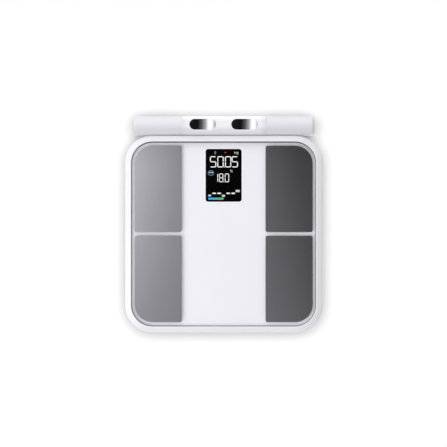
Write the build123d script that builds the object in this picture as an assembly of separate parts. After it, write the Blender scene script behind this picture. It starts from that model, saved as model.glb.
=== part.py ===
from build123d import *
import os

# A digital bathroom scale that also measures body composition: a glass platform with four foot
# electrodes in a white moulded body, and a two-handed electrode handle docked along its rear edge.
# Millimetres, +Z up. The origin is on the floor, at the middle of the whole object's box.

# Platform outline
PLATFORM_WIDTH = 300.0
PLATFORM_DEPTH = 300.0
PLATFORM_CORNER = 42.0
RIM_WIDTH = 9.6
RIM_SLOPE = 8.0
RIM_FALL = 3.6
RIM_ROUND = 2.6
RIM_EASE = 0.7
FLARE = 8.5
WALL = 2.4
KEEL = 2.5
PARTING = 0.5
CRADLE_WIDTH = 156.0
CRADLE_LIFT = 1.5

# Platform heights, stacked up from the floor
FOOT_DROP = 5.0
TRAY_FLOOR = 2.4
BAY_CEILING = 1.6
DECK_GAP = 1.4
DECK_THICKNESS = 2.4
SKIRT_DROP = 1.5
DECK_RIB = 1.8
DECK_RIB_DEPTH = 8.0
DECK_RIB_PITCH = 127.4
TAPE_THICKNESS = 0.6
PRINT_THICKNESS = 0.2
PRINT_GAP = 0.03
GLASS_THICKNESS = 4.0
GLASS_SINK = 0.3

# Glass, electrodes and display window
GLASS_GAP = 0.8
TAPE_WIDTH = 8.0
SEAL_GAP = 0.05
SEAL_SINK = 0.6
ELECTRODE_THICKNESS = 0.3
ELECTRODE_MARGIN = 4.4
ELECTRODE_END_MARGIN = 5.6
ELECTRODE_SPLIT = 5.6
ELECTRODE_INNER_CORNER = 3.0
CENTRE_STRIP = 127.4
WINDOW_WIDTH = 54.8
WINDOW_HEIGHT = 80.2
WINDOW_CORNER = 4.0
WINDOW_FROM_REAR = 20.8
MODULE_BORDER = 3.0
MODULE_GAP = 0.25
HOLDER_BORDER = 7.0
HOLDER_THICKNESS = 1.5

# Feet and load cells
FOOT_INSET = 42.0
PAD_RADIUS = 19.0
PAD_THICKNESS = 2.4
PAD_EASE = 0.6
PAD_SEAT = 1.0
CUP_RADIUS = 22.5
CUP_WALL = 2.0
CUP_HEIGHT = 6.0
CUP_GAP = 0.9
CUP_BOSS = 6.0
CUP_RELIEF = 0.8
GUIDE_HEIGHT = 1.6
CUP_RIBS = 8
CUP_RIB = 1.4
CELL_SIZE = 36.0
CELL_CORNER = 6.0
CELL_THICKNESS = 2.0
CELL_FRAME = 5.0
CELL_SLOT = 2.2
CELL_BEAM = 8.0
CELL_POST = 3.4
LEAD_RADIUS = 1.0
LEAD_GAP = 0.3
LEAD_RUN = 16.0
LEAD_BEND = 8.0
LEAD_NOTCH = 9.6

# Power
BATTERY_DIAMETER = 10.5
BATTERY_LENGTH = 44.5
BATTERY_NIPPLE_RADIUS = 1.9
BATTERY_NIPPLE = 0.8
BATTERY_COUNT = 4
BATTERY_SIDE_GAP = 0.5
BATTERY_CLEAR = 0.2
CONTACT_SPACE = 3.5
CONTACT_THICKNESS = 0.4
CONTACT_WIDTH = 8.0
CONTACT_TOUCH = 3.0
CONTACT_HEIGHT = 6.0
BAY_WALL = 1.6
BAY_FROM_FRONT = 62.0
DOOR_GAP = 0.4
DOOR_PIN_RADIUS = 0.7
DOOR_PIN_LENGTH = 3.0
DOOR_TAB_WIDTH = 14.0
DOOR_TAB_SLOT = 1.0
DOOR_TAB_LENGTH = 9.0
DOOR_NOTCH = 9.0
DOOR_NOTCH_DEPTH = 1.4

# Electronics
BOARD_WIDTH = 84.0
BOARD_DEPTH = 40.0
BOARD_THICKNESS = 1.6
BOARD_LIFT = 6.6
BOARD_FROM_WINDOW = 12.0
BOARD_POST = 3.0
BOARD_POST_INSET = 4.0
SOCKET_WIDTH = 6.0
SOCKET_DEPTH = 8.0
SOCKET_HEIGHT = 5.0
SOCKET_PITCH = 12.0
FLEX_WIDTH = 22.0
FLEX_THICKNESS = 0.3
FLEX_TAIL = 8.0
FLEX_BEND = 1.5
CHIP_SETBACK = 4.0
BOARD_CHIPS = [(-14.0, 12.0, 12.0, 1.4), (10.0, 18.0, 13.0, 2.2)]
BOARD_SCREW_LENGTH = 6.0
BUTTON_RADIUS = 4.0
BUTTON_SINK = 0.4
BUTTON_TRAVEL = 0.8
BUTTON_X = 24.0
BUTTON_SETBACK = 10.0
BUTTON_GAP = 0.3
BUTTON_SLACK = 0.1
SWITCH_SIZE = 6.0
SWITCH_HEIGHT = 3.6
PLUNGER_RADIUS = 1.6
PLUNGER = 0.6
BUTTON_FLANGE = 1.2

# Cord reel
REEL_CORE = 20.0
REEL_FLANGE = 31.0
REEL_FLANGE_THICKNESS = 1.4
REEL_HEIGHT = 9.0
REEL_LIFT = 0.6
REEL_WALL = 2.0
REEL_HUB = 5.0
REEL_HUB_HEIGHT = 2.6
AXLE_RADIUS = 2.5
RUNNING_GAP = 0.05
END_PLAY = 0.3
REEL_FROM_REAR = 52.0
SPRING_STRIP = 0.4
SPRING_TURNS = 5
SPRING_GAP = 0.3
REEL_PLATE = 1.6
REEL_POST = 3.5
REEL_POST_GAP = 1.0

# Handle
HANDLE_LENGTH = 275.0
HANDLE_DEPTH = 29.6
HANDLE_HEIGHT = 31.0
HANDLE_LIFT = 3.0
DOCK_OVERLAP = 0.4
DOCK_GAP = 1.0
CORE_LENGTH = 128.0
CORE_ROUND = 7.0
CORE_BROW_ROUND = 14.0
CORE_THUMB_ROUND = 7.0
CORE_WALL = 2.2
LID_RISE = 4.5
SEAM_GAP = 0.15
SPINE_RADIUS = 6.0
SPINE_WALL = 1.5
SLEEVE_GAP = 0.1
GRIP_WALL = 2.4
CAP_THICKNESS = 7.0
CAP_ROUND = 4.0
CAP_SPIGOT = 10.0
THUMB_LENGTH = 40.0
THUMB_WIDTH = 16.0
THUMB_PITCH = 63.6
THUMB_SHIFT = 2.2
THUMB_DISH_RADIUS = 62.0
THUMB_PLATE = 0.8
FINGER_PLATE = 0.8
FINGER_END_MARGIN = 8.0
FINGER_REACH = 2.0
MAGNET_RADIUS = 2.5
MAGNET_THICKNESS = 2.5
MAGNET_X = 46.0
MAGNET_SKIN = 0.8
GLUE_GAP = 0.1
BUSH_BORE = 1.7
BUSH_RADIUS = 2.4
BUSH_LENGTH = 4.5
CORD_DROP = 5.0
HANDLE_BOARD_LENGTH = 44.0
HANDLE_BOARD_WIDTH = 11.0
HANDLE_BOARD_THICKNESS = 1.2
HANDLE_BOARD_LIFT = 1.2
LID_SCREW_X = 57.0
LID_SCREW_Y = 9.6
LID_SCREW_POST = 3.2
LID_SCREW_BITE = 2.5
THUMB_RIM = 1.6
THUMB_SEAT = 6.6

# Screws
SCREW_RADIUS = 1.5
SCREW_HEAD_RADIUS = 2.8
SCREW_HEAD = 1.6
SCREW_LENGTH = 7.0
SCREW_GAP = 0.1
SCREW_POST = 3.6
SCREW_INSET = 17.0
HEAD_SINK = 0.2

# Heights that follow from the stack
TRAY_BOTTOM = FOOT_DROP
FLOOR_TOP = TRAY_BOTTOM + TRAY_FLOOR
BATTERY_Z = FLOOR_TOP + DOOR_GAP + BATTERY_DIAMETER / 2
BAY_TOP = BATTERY_Z + BATTERY_DIAMETER / 2 + BATTERY_CLEAR
DECK_BOTTOM = BAY_TOP + BAY_CEILING + DECK_GAP
DECK_TOP = DECK_BOTTOM + DECK_THICKNESS
SPLIT_Z = DECK_BOTTOM - SKIRT_DROP
PRINT_BOTTOM = DECK_TOP + TAPE_THICKNESS
PRINT_TOP = PRINT_BOTTOM + PRINT_THICKNESS
GLASS_BOTTOM = PRINT_TOP + PRINT_GAP
GLASS_TOP = GLASS_BOTTOM + GLASS_THICKNESS
RIM_TOP = GLASS_TOP + GLASS_SINK
CUP_BOTTOM = PAD_THICKNESS - PAD_SEAT
CELL_BOTTOM = CUP_BOTTOM + CUP_HEIGHT
CELL_TOP = CELL_BOTTOM + CELL_THICKNESS
BOARD_BOTTOM = FLOOR_TOP + BOARD_LIFT
BOARD_TOP = BOARD_BOTTOM + BOARD_THICKNESS
REEL_BOTTOM = FLOOR_TOP + REEL_LIFT + END_PLAY
REEL_TOP = REEL_BOTTOM + REEL_HEIGHT
REEL_PLATE_BOTTOM = REEL_TOP + END_PLAY

# Places that follow from the outline
HANDLE_REACH = HANDLE_DEPTH - DOCK_OVERLAP
PLATFORM_Y = -HANDLE_REACH / 2
REAR_Y = PLATFORM_Y + PLATFORM_DEPTH / 2
FRONT_Y = PLATFORM_Y - PLATFORM_DEPTH / 2
HANDLE_Y = REAR_Y - DOCK_OVERLAP + HANDLE_DEPTH / 2
HANDLE_Z = HANDLE_LIFT + HANDLE_HEIGHT / 2
DOCK_Y = REAR_Y - DOCK_OVERLAP - DOCK_GAP
RECESS_INSET = RIM_WIDTH
GLASS_INSET = RIM_WIDTH + GLASS_GAP
WINDOW_Y = REAR_Y - WINDOW_FROM_REAR - WINDOW_HEIGHT / 2
MODULE_WIDTH = WINDOW_WIDTH + 2 * MODULE_BORDER
MODULE_HEIGHT = WINDOW_HEIGHT + 2 * MODULE_BORDER
BOARD_Y = WINDOW_Y - WINDOW_HEIGHT / 2 - BOARD_FROM_WINDOW - BOARD_DEPTH / 2
BUTTON_Y = BOARD_Y - BUTTON_SETBACK
REEL_X = -REEL_CORE
REEL_Y = REAR_Y - REEL_FROM_REAR
BATTERY_PITCH = BATTERY_DIAMETER + BATTERY_SIDE_GAP
BAY_WIDTH = BATTERY_COUNT * BATTERY_PITCH
BAY_LENGTH = BATTERY_LENGTH + BATTERY_NIPPLE + 2 * CONTACT_SPACE
BAY_Y = FRONT_Y + BAY_FROM_FRONT + BAY_LENGTH / 2
DOOR_PIVOT_Y = BAY_Y + BAY_LENGTH / 2 - DOOR_GAP - TRAY_FLOOR / 2
DOOR_PIVOT_Z = TRAY_BOTTOM + TRAY_FLOOR / 2
SWITCH_TIP = BOARD_BOTTOM - SWITCH_HEIGHT - PLUNGER
CORD_Z = SPLIT_Z - CORD_DROP
FOOT_X = PLATFORM_WIDTH / 2 - FOOT_INSET
FOOT_Y = PLATFORM_DEPTH / 2 - FOOT_INSET
CORNERS = {
    "front_left": (-FOOT_X, PLATFORM_Y - FOOT_Y),
    "front_right": (FOOT_X, PLATFORM_Y - FOOT_Y),
    "rear_left": (-FOOT_X, PLATFORM_Y + FOOT_Y),
    "rear_right": (FOOT_X, PLATFORM_Y + FOOT_Y),
}
SCREW_PLACES = [
    (side * (PLATFORM_WIDTH / 2 - SCREW_INSET), PLATFORM_Y) for side in (-1, 1)
] + [
    (side * DECK_RIB_PITCH / 2, PLATFORM_Y + end * (PLATFORM_DEPTH / 2 - SCREW_INSET))
    for side in (-1, 1)
    for end in (-1, 1)
]
BOARD_CORNERS = [
    (side * (BOARD_WIDTH / 2 - BOARD_POST_INSET), BOARD_Y + end * (BOARD_DEPTH / 2 - BOARD_POST_INSET))
    for side in (-1, 1)
    for end in (-1, 1)
]
SOCKETS = [
    (side * (BOARD_WIDTH / 2 - SOCKET_WIDTH / 2), BOARD_Y + end * SOCKET_PITCH / 2)
    for end in (-1, 1)
    for side in (-1, 1)
]
REEL_POSTS = [REEL_X + side * (REEL_FLANGE + REEL_POST_GAP + REEL_POST) for side in (-1, 1)]
THUMB_PLACES = [side * THUMB_PITCH / 2 for side in (-1, 1)]
LID_SCREWS = [(side * LID_SCREW_X, HANDLE_Y + end * LID_SCREW_Y) for side in (-1, 1) for end in (-1, 1)]
LID_SCREW_SEAT = HANDLE_Z - HANDLE_HEIGHT / 2 + CORE_ROUND / 2
LID_SCREW_LENGTH = HANDLE_Z + LID_RISE + LID_SCREW_BITE - LID_SCREW_SEAT
HANDLE_BOARD_Z = HANDLE_Z - HANDLE_HEIGHT / 2 + CORE_WALL + HANDLE_BOARD_LIFT
GRIP_LENGTH = (HANDLE_LENGTH - CORE_LENGTH) / 2 - CAP_THICKNESS
UP = (Align.CENTER, Align.CENTER, Align.MIN)


def post(x, y, radius, bottom, top):
    """An upright cylinder between two heights."""
    return Pos(x, y, bottom) * Cylinder(radius, top - bottom, align=UP)


def block(x, y, width, depth, bottom, top):
    """An upright box between two heights."""
    return Pos(x, y, bottom) * Box(width, depth, top - bottom, align=UP)


def across(y, z, radius, length):
    """A cylinder along X, centred on the middle plane."""
    return Pos(0, y, z) * Rot(0, 90, 0) * Cylinder(radius, length)


def rearward(x, z, radius, front, rear):
    """A cylinder along Y between two places."""
    return Pos(x, (front + rear) / 2, z) * Rot(90, 0, 0) * Cylinder(radius, rear - front)


def outline(inset):
    """The platform's rounded outline, drawn in by an inset."""
    corner = PLATFORM_CORNER - inset
    return RectangleRounded(PLATFORM_WIDTH - 2 * inset, PLATFORM_DEPTH - 2 * inset, corner)


def slab(inset, bottom, top):
    """A slab of the platform's outline between two heights."""
    return Pos(0, PLATFORM_Y, bottom) * extrude(outline(inset), top - bottom)


def tapered(*sections):
    """A slab whose outline changes straight from one (inset, height) section to the next."""
    return loft([Pos(0, PLATFORM_Y, z) * outline(inset) for inset, z in sections], ruled=True)


def window(width, height, corner, bottom, top):
    """A rounded block on the display's centre line."""
    return Pos(0, WINDOW_Y, bottom) * extrude(RectangleRounded(width, height, corner), top - bottom)


def handle_plane(x):
    """The handle's section plane: across is the sketch's X, up is its Y."""
    return Plane((x, HANDLE_Y, HANDLE_Z), x_dir=(0, 1, 0), z_dir=(1, 0, 0))


def along_handle(sketch, start, length):
    """A handle section drawn out along X."""
    return extrude(handle_plane(start) * sketch, length)


def grip_start(side):
    """Where a grip's lower-X end lies."""
    return CORE_LENGTH / 2 if side > 0 else -CORE_LENGTH / 2 - GRIP_LENGTH


def core_section(grow):
    """The centre housing's section: flat on top, tighter at the thumbs than at the brow."""
    section = Rectangle(HANDLE_DEPTH + 2 * grow, HANDLE_HEIGHT + 2 * grow)
    rounds = {(1, 1): CORE_THUMB_ROUND, (-1, 1): CORE_BROW_ROUND}
    for rear in (-1, 1):
        for top in (-1, 1):
            corner = section.vertices().sort_by(lambda v: -(rear * v.X + top * v.Y))[0]
            section = fillet(corner, rounds.get((rear, top), CORE_ROUND) + grow)
    return section


def grip_section(grow):
    """The end grips' oval section."""
    return Ellipse(HANDLE_DEPTH / 2 + grow, HANDLE_HEIGHT / 2 + grow)


def dock_channel(grow):
    """The handle's berth in the platform's rear edge, open at both ends."""
    return along_handle(core_section(DOCK_GAP + grow), -PLATFORM_WIDTH / 2, PLATFORM_WIDTH)


def screw(x, y, seat, length, up):
    """A pan-head screw with its head's flat at a seat, its shank up or down from there."""
    shank = (seat, seat + length) if up else (seat - length, seat)
    head = (seat - SCREW_HEAD, seat) if up else (seat, seat + SCREW_HEAD)
    return post(x, y, SCREW_HEAD_RADIUS, *head) + post(x, y, SCREW_RADIUS, *shank)


# Platform shells

def make_top_frame():
    """The sloping white rim and the deck under the glass, in one moulding, hollow from below."""
    berth, berth_wall = dock_channel(0), dock_channel(WALL)
    shoulder = RIM_TOP - RIM_FALL
    frame = tapered((0, SPLIT_Z), (0, shoulder), (RIM_SLOPE, RIM_TOP))
    brink = frame.edges().filter_by_position(Axis.Z, shoulder - RIM_EASE, shoulder + RIM_EASE)
    frame = fillet(brink, RIM_ROUND)
    frame -= slab(RECESS_INSET, DECK_TOP, RIM_TOP)
    frame = fillet(frame.faces().sort_by(Axis.Z)[-1].inner_wires()[0].edges(), RIM_EASE)
    groove = slab(WALL, DECK_BOTTOM, shoulder - RIM_EASE)
    groove -= slab(RIM_WIDTH - WALL, DECK_BOTTOM, shoulder - RIM_EASE)
    hollow = slab(WALL, SPLIT_Z, DECK_BOTTOM) + groove
    frame = frame - berth - (hollow - berth_wall)
    frame -= window(
        MODULE_WIDTH + 2 * MODULE_GAP, MODULE_HEIGHT + 2 * MODULE_GAP, WINDOW_CORNER,
        DECK_BOTTOM, DECK_TOP,
    )
    for x, y in CORNERS.values():
        for side in (-1, 1):
            frame += post(x + side * (CELL_SIZE / 2 - CELL_POST), y, CELL_POST, CELL_TOP, DECK_BOTTOM)
    frame += deck_ribs()
    for x, y in SCREW_PLACES:
        frame += post(x, y, SCREW_POST, FLOOR_TOP, DECK_BOTTOM)
        frame -= post(x, y, SCREW_RADIUS + SCREW_GAP, FLOOR_TOP, FLOOR_TOP + SCREW_LENGTH)
    return frame


def deck_ribs():
    """The ribs under the deck: one down each side and three across it, joining the posts."""
    inner, outer = DECK_RIB_PITCH / 2, PLATFORM_WIDTH / 2 - SCREW_INSET
    bottom = DECK_BOTTOM - DECK_RIB_DEPTH
    ribs = []
    for side in (-1, 1):
        middle = side * (inner + outer) / 2
        length = PLATFORM_DEPTH - 2 * SCREW_INSET
        ribs.append(block(side * inner, PLATFORM_Y, DECK_RIB, length, bottom, DECK_BOTTOM))
        for y in (PLATFORM_Y - FOOT_Y, PLATFORM_Y, PLATFORM_Y + FOOT_Y):
            ribs.append(block(middle, y, outer - inner, DECK_RIB, bottom, DECK_BOTTOM))
    return ribs


def make_base_tray():
    """The lower body: a flared tray, eased at its parting line, with its bay, holes, dock wall and posts."""
    berth, berth_wall = dock_channel(0), dock_channel(WALL)
    keel = TRAY_BOTTOM + KEEL
    tray = tapered((FLARE + KEEL, TRAY_BOTTOM), (FLARE, keel), (0, SPLIT_Z - PARTING), (PARTING, SPLIT_Z))
    tray += block(0, REAR_Y - RIM_WIDTH / 2, CRADLE_WIDTH, RIM_WIDTH, TRAY_BOTTOM + CRADLE_LIFT, SPLIT_Z)
    hollow = tapered((FLARE + WALL, FLOOR_TOP), (WALL, SPLIT_Z))
    tray = tray - berth - (hollow - berth_wall)
    tray = add_battery_bay(tray)
    tray = add_foot_holes(tray)
    tray = add_board_posts(tray)
    tray = add_reel_seat(tray)
    tray = add_dock_fittings(tray)
    for x, y in SCREW_PLACES:
        tray -= post(x, y, SCREW_RADIUS + SCREW_GAP, TRAY_BOTTOM, FLOOR_TOP)
        tray -= post(x, y, SCREW_HEAD_RADIUS + SCREW_GAP, TRAY_BOTTOM, TRAY_BOTTOM + SCREW_HEAD + HEAD_SINK)
    return tray


def add_battery_bay(tray):
    """The inverted box that holds the cells, with the door's opening, hinge sockets and finger notch."""
    tray += block(
        0, BAY_Y, BAY_WIDTH + 2 * BAY_WALL, BAY_LENGTH + 2 * BAY_WALL, FLOOR_TOP, BAY_TOP + BAY_CEILING
    )
    tray -= block(0, BAY_Y, BAY_WIDTH, BAY_LENGTH, TRAY_BOTTOM, BAY_TOP)
    pin_span = BAY_WIDTH - 2 * DOOR_GAP + 2 * DOOR_PIN_LENGTH + 2 * DOOR_GAP
    tray -= across(DOOR_PIVOT_Y, DOOR_PIVOT_Z, DOOR_PIN_RADIUS + RUNNING_GAP, pin_span)
    notch = Pos(0, BAY_Y - BAY_LENGTH / 2, TRAY_BOTTOM) * Cylinder(DOOR_NOTCH, 2 * DOOR_NOTCH_DEPTH)
    return tray - notch


def add_foot_holes(tray):
    """A hole for each foot, with a guide ring round its load cell that is notched for the cell's lead."""
    hole = CUP_RADIUS + CUP_GAP
    for x, y in CORNERS.values():
        guide_top = FLOOR_TOP + GUIDE_HEIGHT
        tray += post(x, y, hole + WALL, FLOOR_TOP, guide_top)
        tray -= post(x, y, hole, TRAY_BOTTOM, guide_top)
        inward = x - hole if x > 0 else x + hole
        tray -= block(inward, y, LEAD_NOTCH, 2 * (LEAD_RADIUS + LEAD_GAP), FLOOR_TOP, guide_top)
    return tray


def add_board_posts(tray):
    """Four screw posts for the main board, and the unit button's hole under it."""
    for x, y in BOARD_CORNERS:
        tray += post(x, y, BOARD_POST, FLOOR_TOP, BOARD_BOTTOM)
        tray -= post(x, y, SCREW_RADIUS + SCREW_GAP, FLOOR_TOP, BOARD_BOTTOM)
    return tray - post(BUTTON_X, BUTTON_Y, BUTTON_RADIUS + BUTTON_GAP, TRAY_BOTTOM, FLOOR_TOP)


def add_reel_seat(tray):
    """The thrust boss under the reel, and the two posts that carry its bridge."""
    tray += post(REEL_X, REEL_Y, REEL_HUB, FLOOR_TOP, FLOOR_TOP + REEL_LIFT)
    tray -= post(REEL_X, REEL_Y, AXLE_RADIUS + SCREW_GAP, FLOOR_TOP, FLOOR_TOP + REEL_LIFT)
    for x in REEL_POSTS:
        tray += post(x, REEL_Y, REEL_POST, FLOOR_TOP, REEL_PLATE_BOTTOM)
        bottom = REEL_PLATE_BOTTOM - SCREW_LENGTH
        tray -= post(x, REEL_Y, SCREW_RADIUS + SCREW_GAP, bottom, REEL_PLATE_BOTTOM)
    return tray


def add_dock_fittings(tray):
    """The cord's outlet and the magnet pockets in the dock wall."""
    tray -= rearward(0, CORD_Z, BUSH_RADIUS + GLUE_GAP, DOCK_Y - RIM_WIDTH, DOCK_Y)
    for side in (-1, 1):
        skin = DOCK_Y - MAGNET_SKIN
        tray -= rearward(side * MAGNET_X, CORD_Z, MAGNET_RADIUS + GLUE_GAP, DOCK_Y - RIM_WIDTH, skin)
    return tray


# Glass platform

def make_glass_platform():
    """The toughened glass that is stood on, with its upper edge eased."""
    glass = slab(GLASS_INSET, GLASS_BOTTOM, GLASS_TOP)
    return chamfer(glass.edges().group_by(Axis.Z)[-1], GLASS_SINK)


def make_glass_back_print():
    """The white print on the glass's underside, clear over the display."""
    sheet = slab(GLASS_INSET, PRINT_BOTTOM, PRINT_TOP)
    return sheet - window(WINDOW_WIDTH, WINDOW_HEIGHT, WINDOW_CORNER, PRINT_BOTTOM, PRINT_TOP)


def make_glass_bonding_tape():
    """The foam tape round the edge that holds the glass to the deck."""
    ring = slab(GLASS_INSET, DECK_TOP, PRINT_BOTTOM)
    ring -= slab(GLASS_INSET + TAPE_WIDTH, DECK_TOP, PRINT_BOTTOM)
    return ring - window(
        MODULE_WIDTH + 2 * MODULE_GAP, MODULE_HEIGHT + 2 * MODULE_GAP, WINDOW_CORNER, DECK_TOP, PRINT_BOTTOM
    )


def make_glass_edge_seal():
    """The dark seal in the gap round the glass, a little below its top."""
    ring = slab(RECESS_INSET + SEAL_GAP, DECK_TOP, GLASS_TOP - SEAL_SINK)
    return ring - slab(GLASS_INSET - SEAL_GAP, DECK_TOP, GLASS_TOP - SEAL_SINK)


def make_electrode(side, end):
    """One foot electrode: a plate on a quarter of the glass, its outer corner following the glass's."""
    inset = GLASS_INSET + ELECTRODE_MARGIN
    inner_x, outer_x = CENTRE_STRIP / 2, PLATFORM_WIDTH / 2 - inset
    inner_y, outer_y = ELECTRODE_SPLIT / 2, PLATFORM_DEPTH / 2 - GLASS_INSET - ELECTRODE_END_MARGIN
    place = Pos(side * (inner_x + outer_x) / 2, end * (inner_y + outer_y) / 2)
    pad = place * Rectangle(outer_x - inner_x, outer_y - inner_y)
    inner_corners = pad.vertices().sort_by(lambda v: side * v.X + end * v.Y)[:-1]
    pad = fillet(inner_corners, ELECTRODE_INNER_CORNER)
    outer_corner = pad.vertices().sort_by(lambda v: side * v.X + end * v.Y)[-1]
    pad = fillet(outer_corner, PLATFORM_CORNER - inset)
    return Pos(0, PLATFORM_Y, GLASS_TOP) * extrude(pad, ELECTRODE_THICKNESS)


# Display and electronics

def make_display_module():
    """The black display panel, filling the deck's window up to the print."""
    return window(MODULE_WIDTH, MODULE_HEIGHT, WINDOW_CORNER, DECK_BOTTOM, PRINT_BOTTOM)


def make_display_holder():
    """The frame that clamps the display up into the deck."""
    width, height = MODULE_WIDTH + 2 * HOLDER_BORDER, MODULE_HEIGHT + 2 * HOLDER_BORDER
    bottom = DECK_BOTTOM - HOLDER_THICKNESS
    holder = window(width, height, HOLDER_BORDER, bottom, DECK_BOTTOM)
    return holder - window(WINDOW_WIDTH, WINDOW_HEIGHT, WINDOW_CORNER, bottom, DECK_BOTTOM)


def make_display_flex():
    """The flat cable from the display's back down to the main board."""
    half = FLEX_THICKNESS / 2
    start_y = WINDOW_Y - WINDOW_HEIGHT / 2 + FLEX_TAIL
    end_y = BOARD_Y + BOARD_DEPTH / 2 - FLEX_TAIL
    high, low = DECK_BOTTOM - half, BOARD_TOP + half
    middle = (DECK_BOTTOM - HOLDER_THICKNESS + BOARD_TOP) / 2
    route = FilletPolyline(
        (start_y, high), (start_y - FLEX_TAIL / 2, high), (start_y - FLEX_TAIL, middle),
        (end_y + FLEX_TAIL, middle), (end_y + FLEX_TAIL / 2, low), (end_y, low),
        radius=FLEX_BEND,
    )
    ribbon = trace(route, FLEX_THICKNESS)
    plane = Plane((-FLEX_WIDTH / 2, 0, 0), x_dir=(0, 1, 0), z_dir=(1, 0, 0))
    return extrude(plane * ribbon, FLEX_WIDTH)


def make_main_board():
    """The circuit board, with holes over its posts."""
    board = block(0, BOARD_Y, BOARD_WIDTH, BOARD_DEPTH, BOARD_BOTTOM, BOARD_TOP)
    for x, y in BOARD_CORNERS:
        board -= post(x, y, SCREW_RADIUS + SCREW_GAP, BOARD_BOTTOM, BOARD_TOP)
    return board


def make_board_components():
    """The controller and radio on the board's top, and the lead sockets under its ends."""
    parts = []
    for x, width, depth, height in BOARD_CHIPS:
        parts.append(block(x, BOARD_Y - CHIP_SETBACK, width, depth, BOARD_TOP, BOARD_TOP + height))
    for x, y in SOCKETS:
        parts.append(block(x, y, SOCKET_WIDTH, SOCKET_DEPTH, BOARD_BOTTOM - SOCKET_HEIGHT, BOARD_BOTTOM))
    return Compound(children=parts)


def make_unit_switch():
    """The tactile switch under the board that the unit button presses."""
    body = block(BUTTON_X, BUTTON_Y, SWITCH_SIZE, SWITCH_SIZE, BOARD_BOTTOM - SWITCH_HEIGHT, BOARD_BOTTOM)
    return body + post(BUTTON_X, BUTTON_Y, PLUNGER_RADIUS, SWITCH_TIP, BOARD_BOTTOM - SWITCH_HEIGHT)


def make_unit_button():
    """The weight-unit button in the tray's underside: a cap with a flange that keeps it in."""
    cap = post(BUTTON_X, BUTTON_Y, BUTTON_RADIUS, TRAY_BOTTOM + BUTTON_SINK, FLOOR_TOP + BUTTON_GAP)
    flange_top = SWITCH_TIP - BUTTON_TRAVEL - BUTTON_SLACK
    return cap + post(BUTTON_X, BUTTON_Y, BUTTON_RADIUS + BUTTON_FLANGE, FLOOR_TOP + BUTTON_GAP, flange_top)


# Feet

def make_foot_pad(x, y):
    """The non-slip rubber pad that stands on the floor."""
    pad = post(x, y, PAD_RADIUS, 0, PAD_THICKNESS)
    return chamfer(pad.edges().group_by(Axis.Z)[0], PAD_EASE)


def make_foot_cup(x, y):
    """The plastic foot: a dish over the pad, with a boss that presses on the load cell."""
    rim = CELL_BOTTOM - CUP_RELIEF
    web = PAD_THICKNESS + CUP_WALL
    cup = post(x, y, CUP_RADIUS, CUP_BOTTOM, rim)
    cup -= post(x, y, CUP_RADIUS - CUP_WALL, web, rim)
    cup += post(x, y, CUP_BOSS, web, CELL_BOTTOM)
    for turn in range(CUP_RIBS):
        rib = Pos(CUP_RADIUS / 2, 0, web) * Box(CUP_RADIUS - CUP_WALL / 2, CUP_RIB, rim - web, align=UP)
        cup += Pos(x, y, 0) * Rot(0, 0, turn * 360 / CUP_RIBS) * rib
    return cup - post(x, y, PAD_RADIUS + GLUE_GAP, CUP_BOTTOM, PAD_THICKNESS)


def make_load_cell(x, y):
    """The stamped strain-gauge plate: a frame and a tongue joined by two beams."""
    hole = CELL_SIZE - 2 * CELL_FRAME
    tongue = hole - 2 * CELL_SLOT
    slots = Rectangle(hole, hole) - Rectangle(tongue, tongue) - Rectangle(CELL_BEAM, CELL_SIZE)
    plate = RectangleRounded(CELL_SIZE, CELL_SIZE, CELL_CORNER) - slots
    return Pos(x, y, CELL_BOTTOM) * extrude(plate, CELL_THICKNESS)


def make_load_cell_leads():
    """Each load cell's lead, held along the tray's floor from the cell's edge to its socket."""
    leads = []
    for (x, y), (socket_x, socket_y) in zip(CORNERS.values(), SOCKETS):
        side = 1 if x > 0 else -1
        z = CELL_TOP - LEAD_RADIUS
        start = (x - side * CELL_SIZE / 2, y, z)
        end = (socket_x + side * SOCKET_WIDTH / 2, socket_y, z)
        turn_out = (start[0] - side * LEAD_RUN, y, z)
        turn_in = (end[0] + side * LEAD_RUN, socket_y, z)
        route = FilletPolyline(start, turn_out, turn_in, end, radius=LEAD_BEND)
        section = Plane(start, z_dir=(-side, 0, 0)) * Circle(LEAD_RADIUS)
        leads.append(sweep(section, path=route))
    return Compound(children=leads)


# Power

def make_battery(index):
    """One cell, lying along Y, turned end for end from its neighbour."""
    turned = 1 if index % 2 else -1
    x = (index - (BATTERY_COUNT - 1) / 2) * BATTERY_PITCH
    can = Cylinder(BATTERY_DIAMETER / 2, BATTERY_LENGTH)
    nipple = Pos(0, 0, BATTERY_LENGTH / 2) * Cylinder(BATTERY_NIPPLE_RADIUS, BATTERY_NIPPLE, align=UP)
    middle_y = BAY_Y - turned * BATTERY_NIPPLE / 2
    return Pos(x, middle_y, BATTERY_Z) * Rot(-90 * turned, 0, 0) * (can + nipple)


def make_battery_contacts(end):
    """The sprung strips at one end of the bay, each bowed out to touch its cell."""
    strips = []
    half = CONTACT_THICKNESS / 2
    reach = CONTACT_SPACE - half
    profile = Polyline(
        (-CONTACT_WIDTH / 2, half), (-CONTACT_TOUCH, half), (-CONTACT_TOUCH / 2, reach),
        (CONTACT_TOUCH / 2, reach), (CONTACT_TOUCH, half), (CONTACT_WIDTH / 2, half),
    )
    strip = extrude(trace(profile, CONTACT_THICKNESS), CONTACT_HEIGHT)
    for index in range(BATTERY_COUNT):
        x = (index - (BATTERY_COUNT - 1) / 2) * BATTERY_PITCH
        place = Pos(x, BAY_Y + end * BAY_LENGTH / 2, BATTERY_Z - CONTACT_HEIGHT / 2)
        strips.append(place * Rot(0, 0, 0 if end < 0 else 180) * strip)
    return Compound(children=strips)


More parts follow.
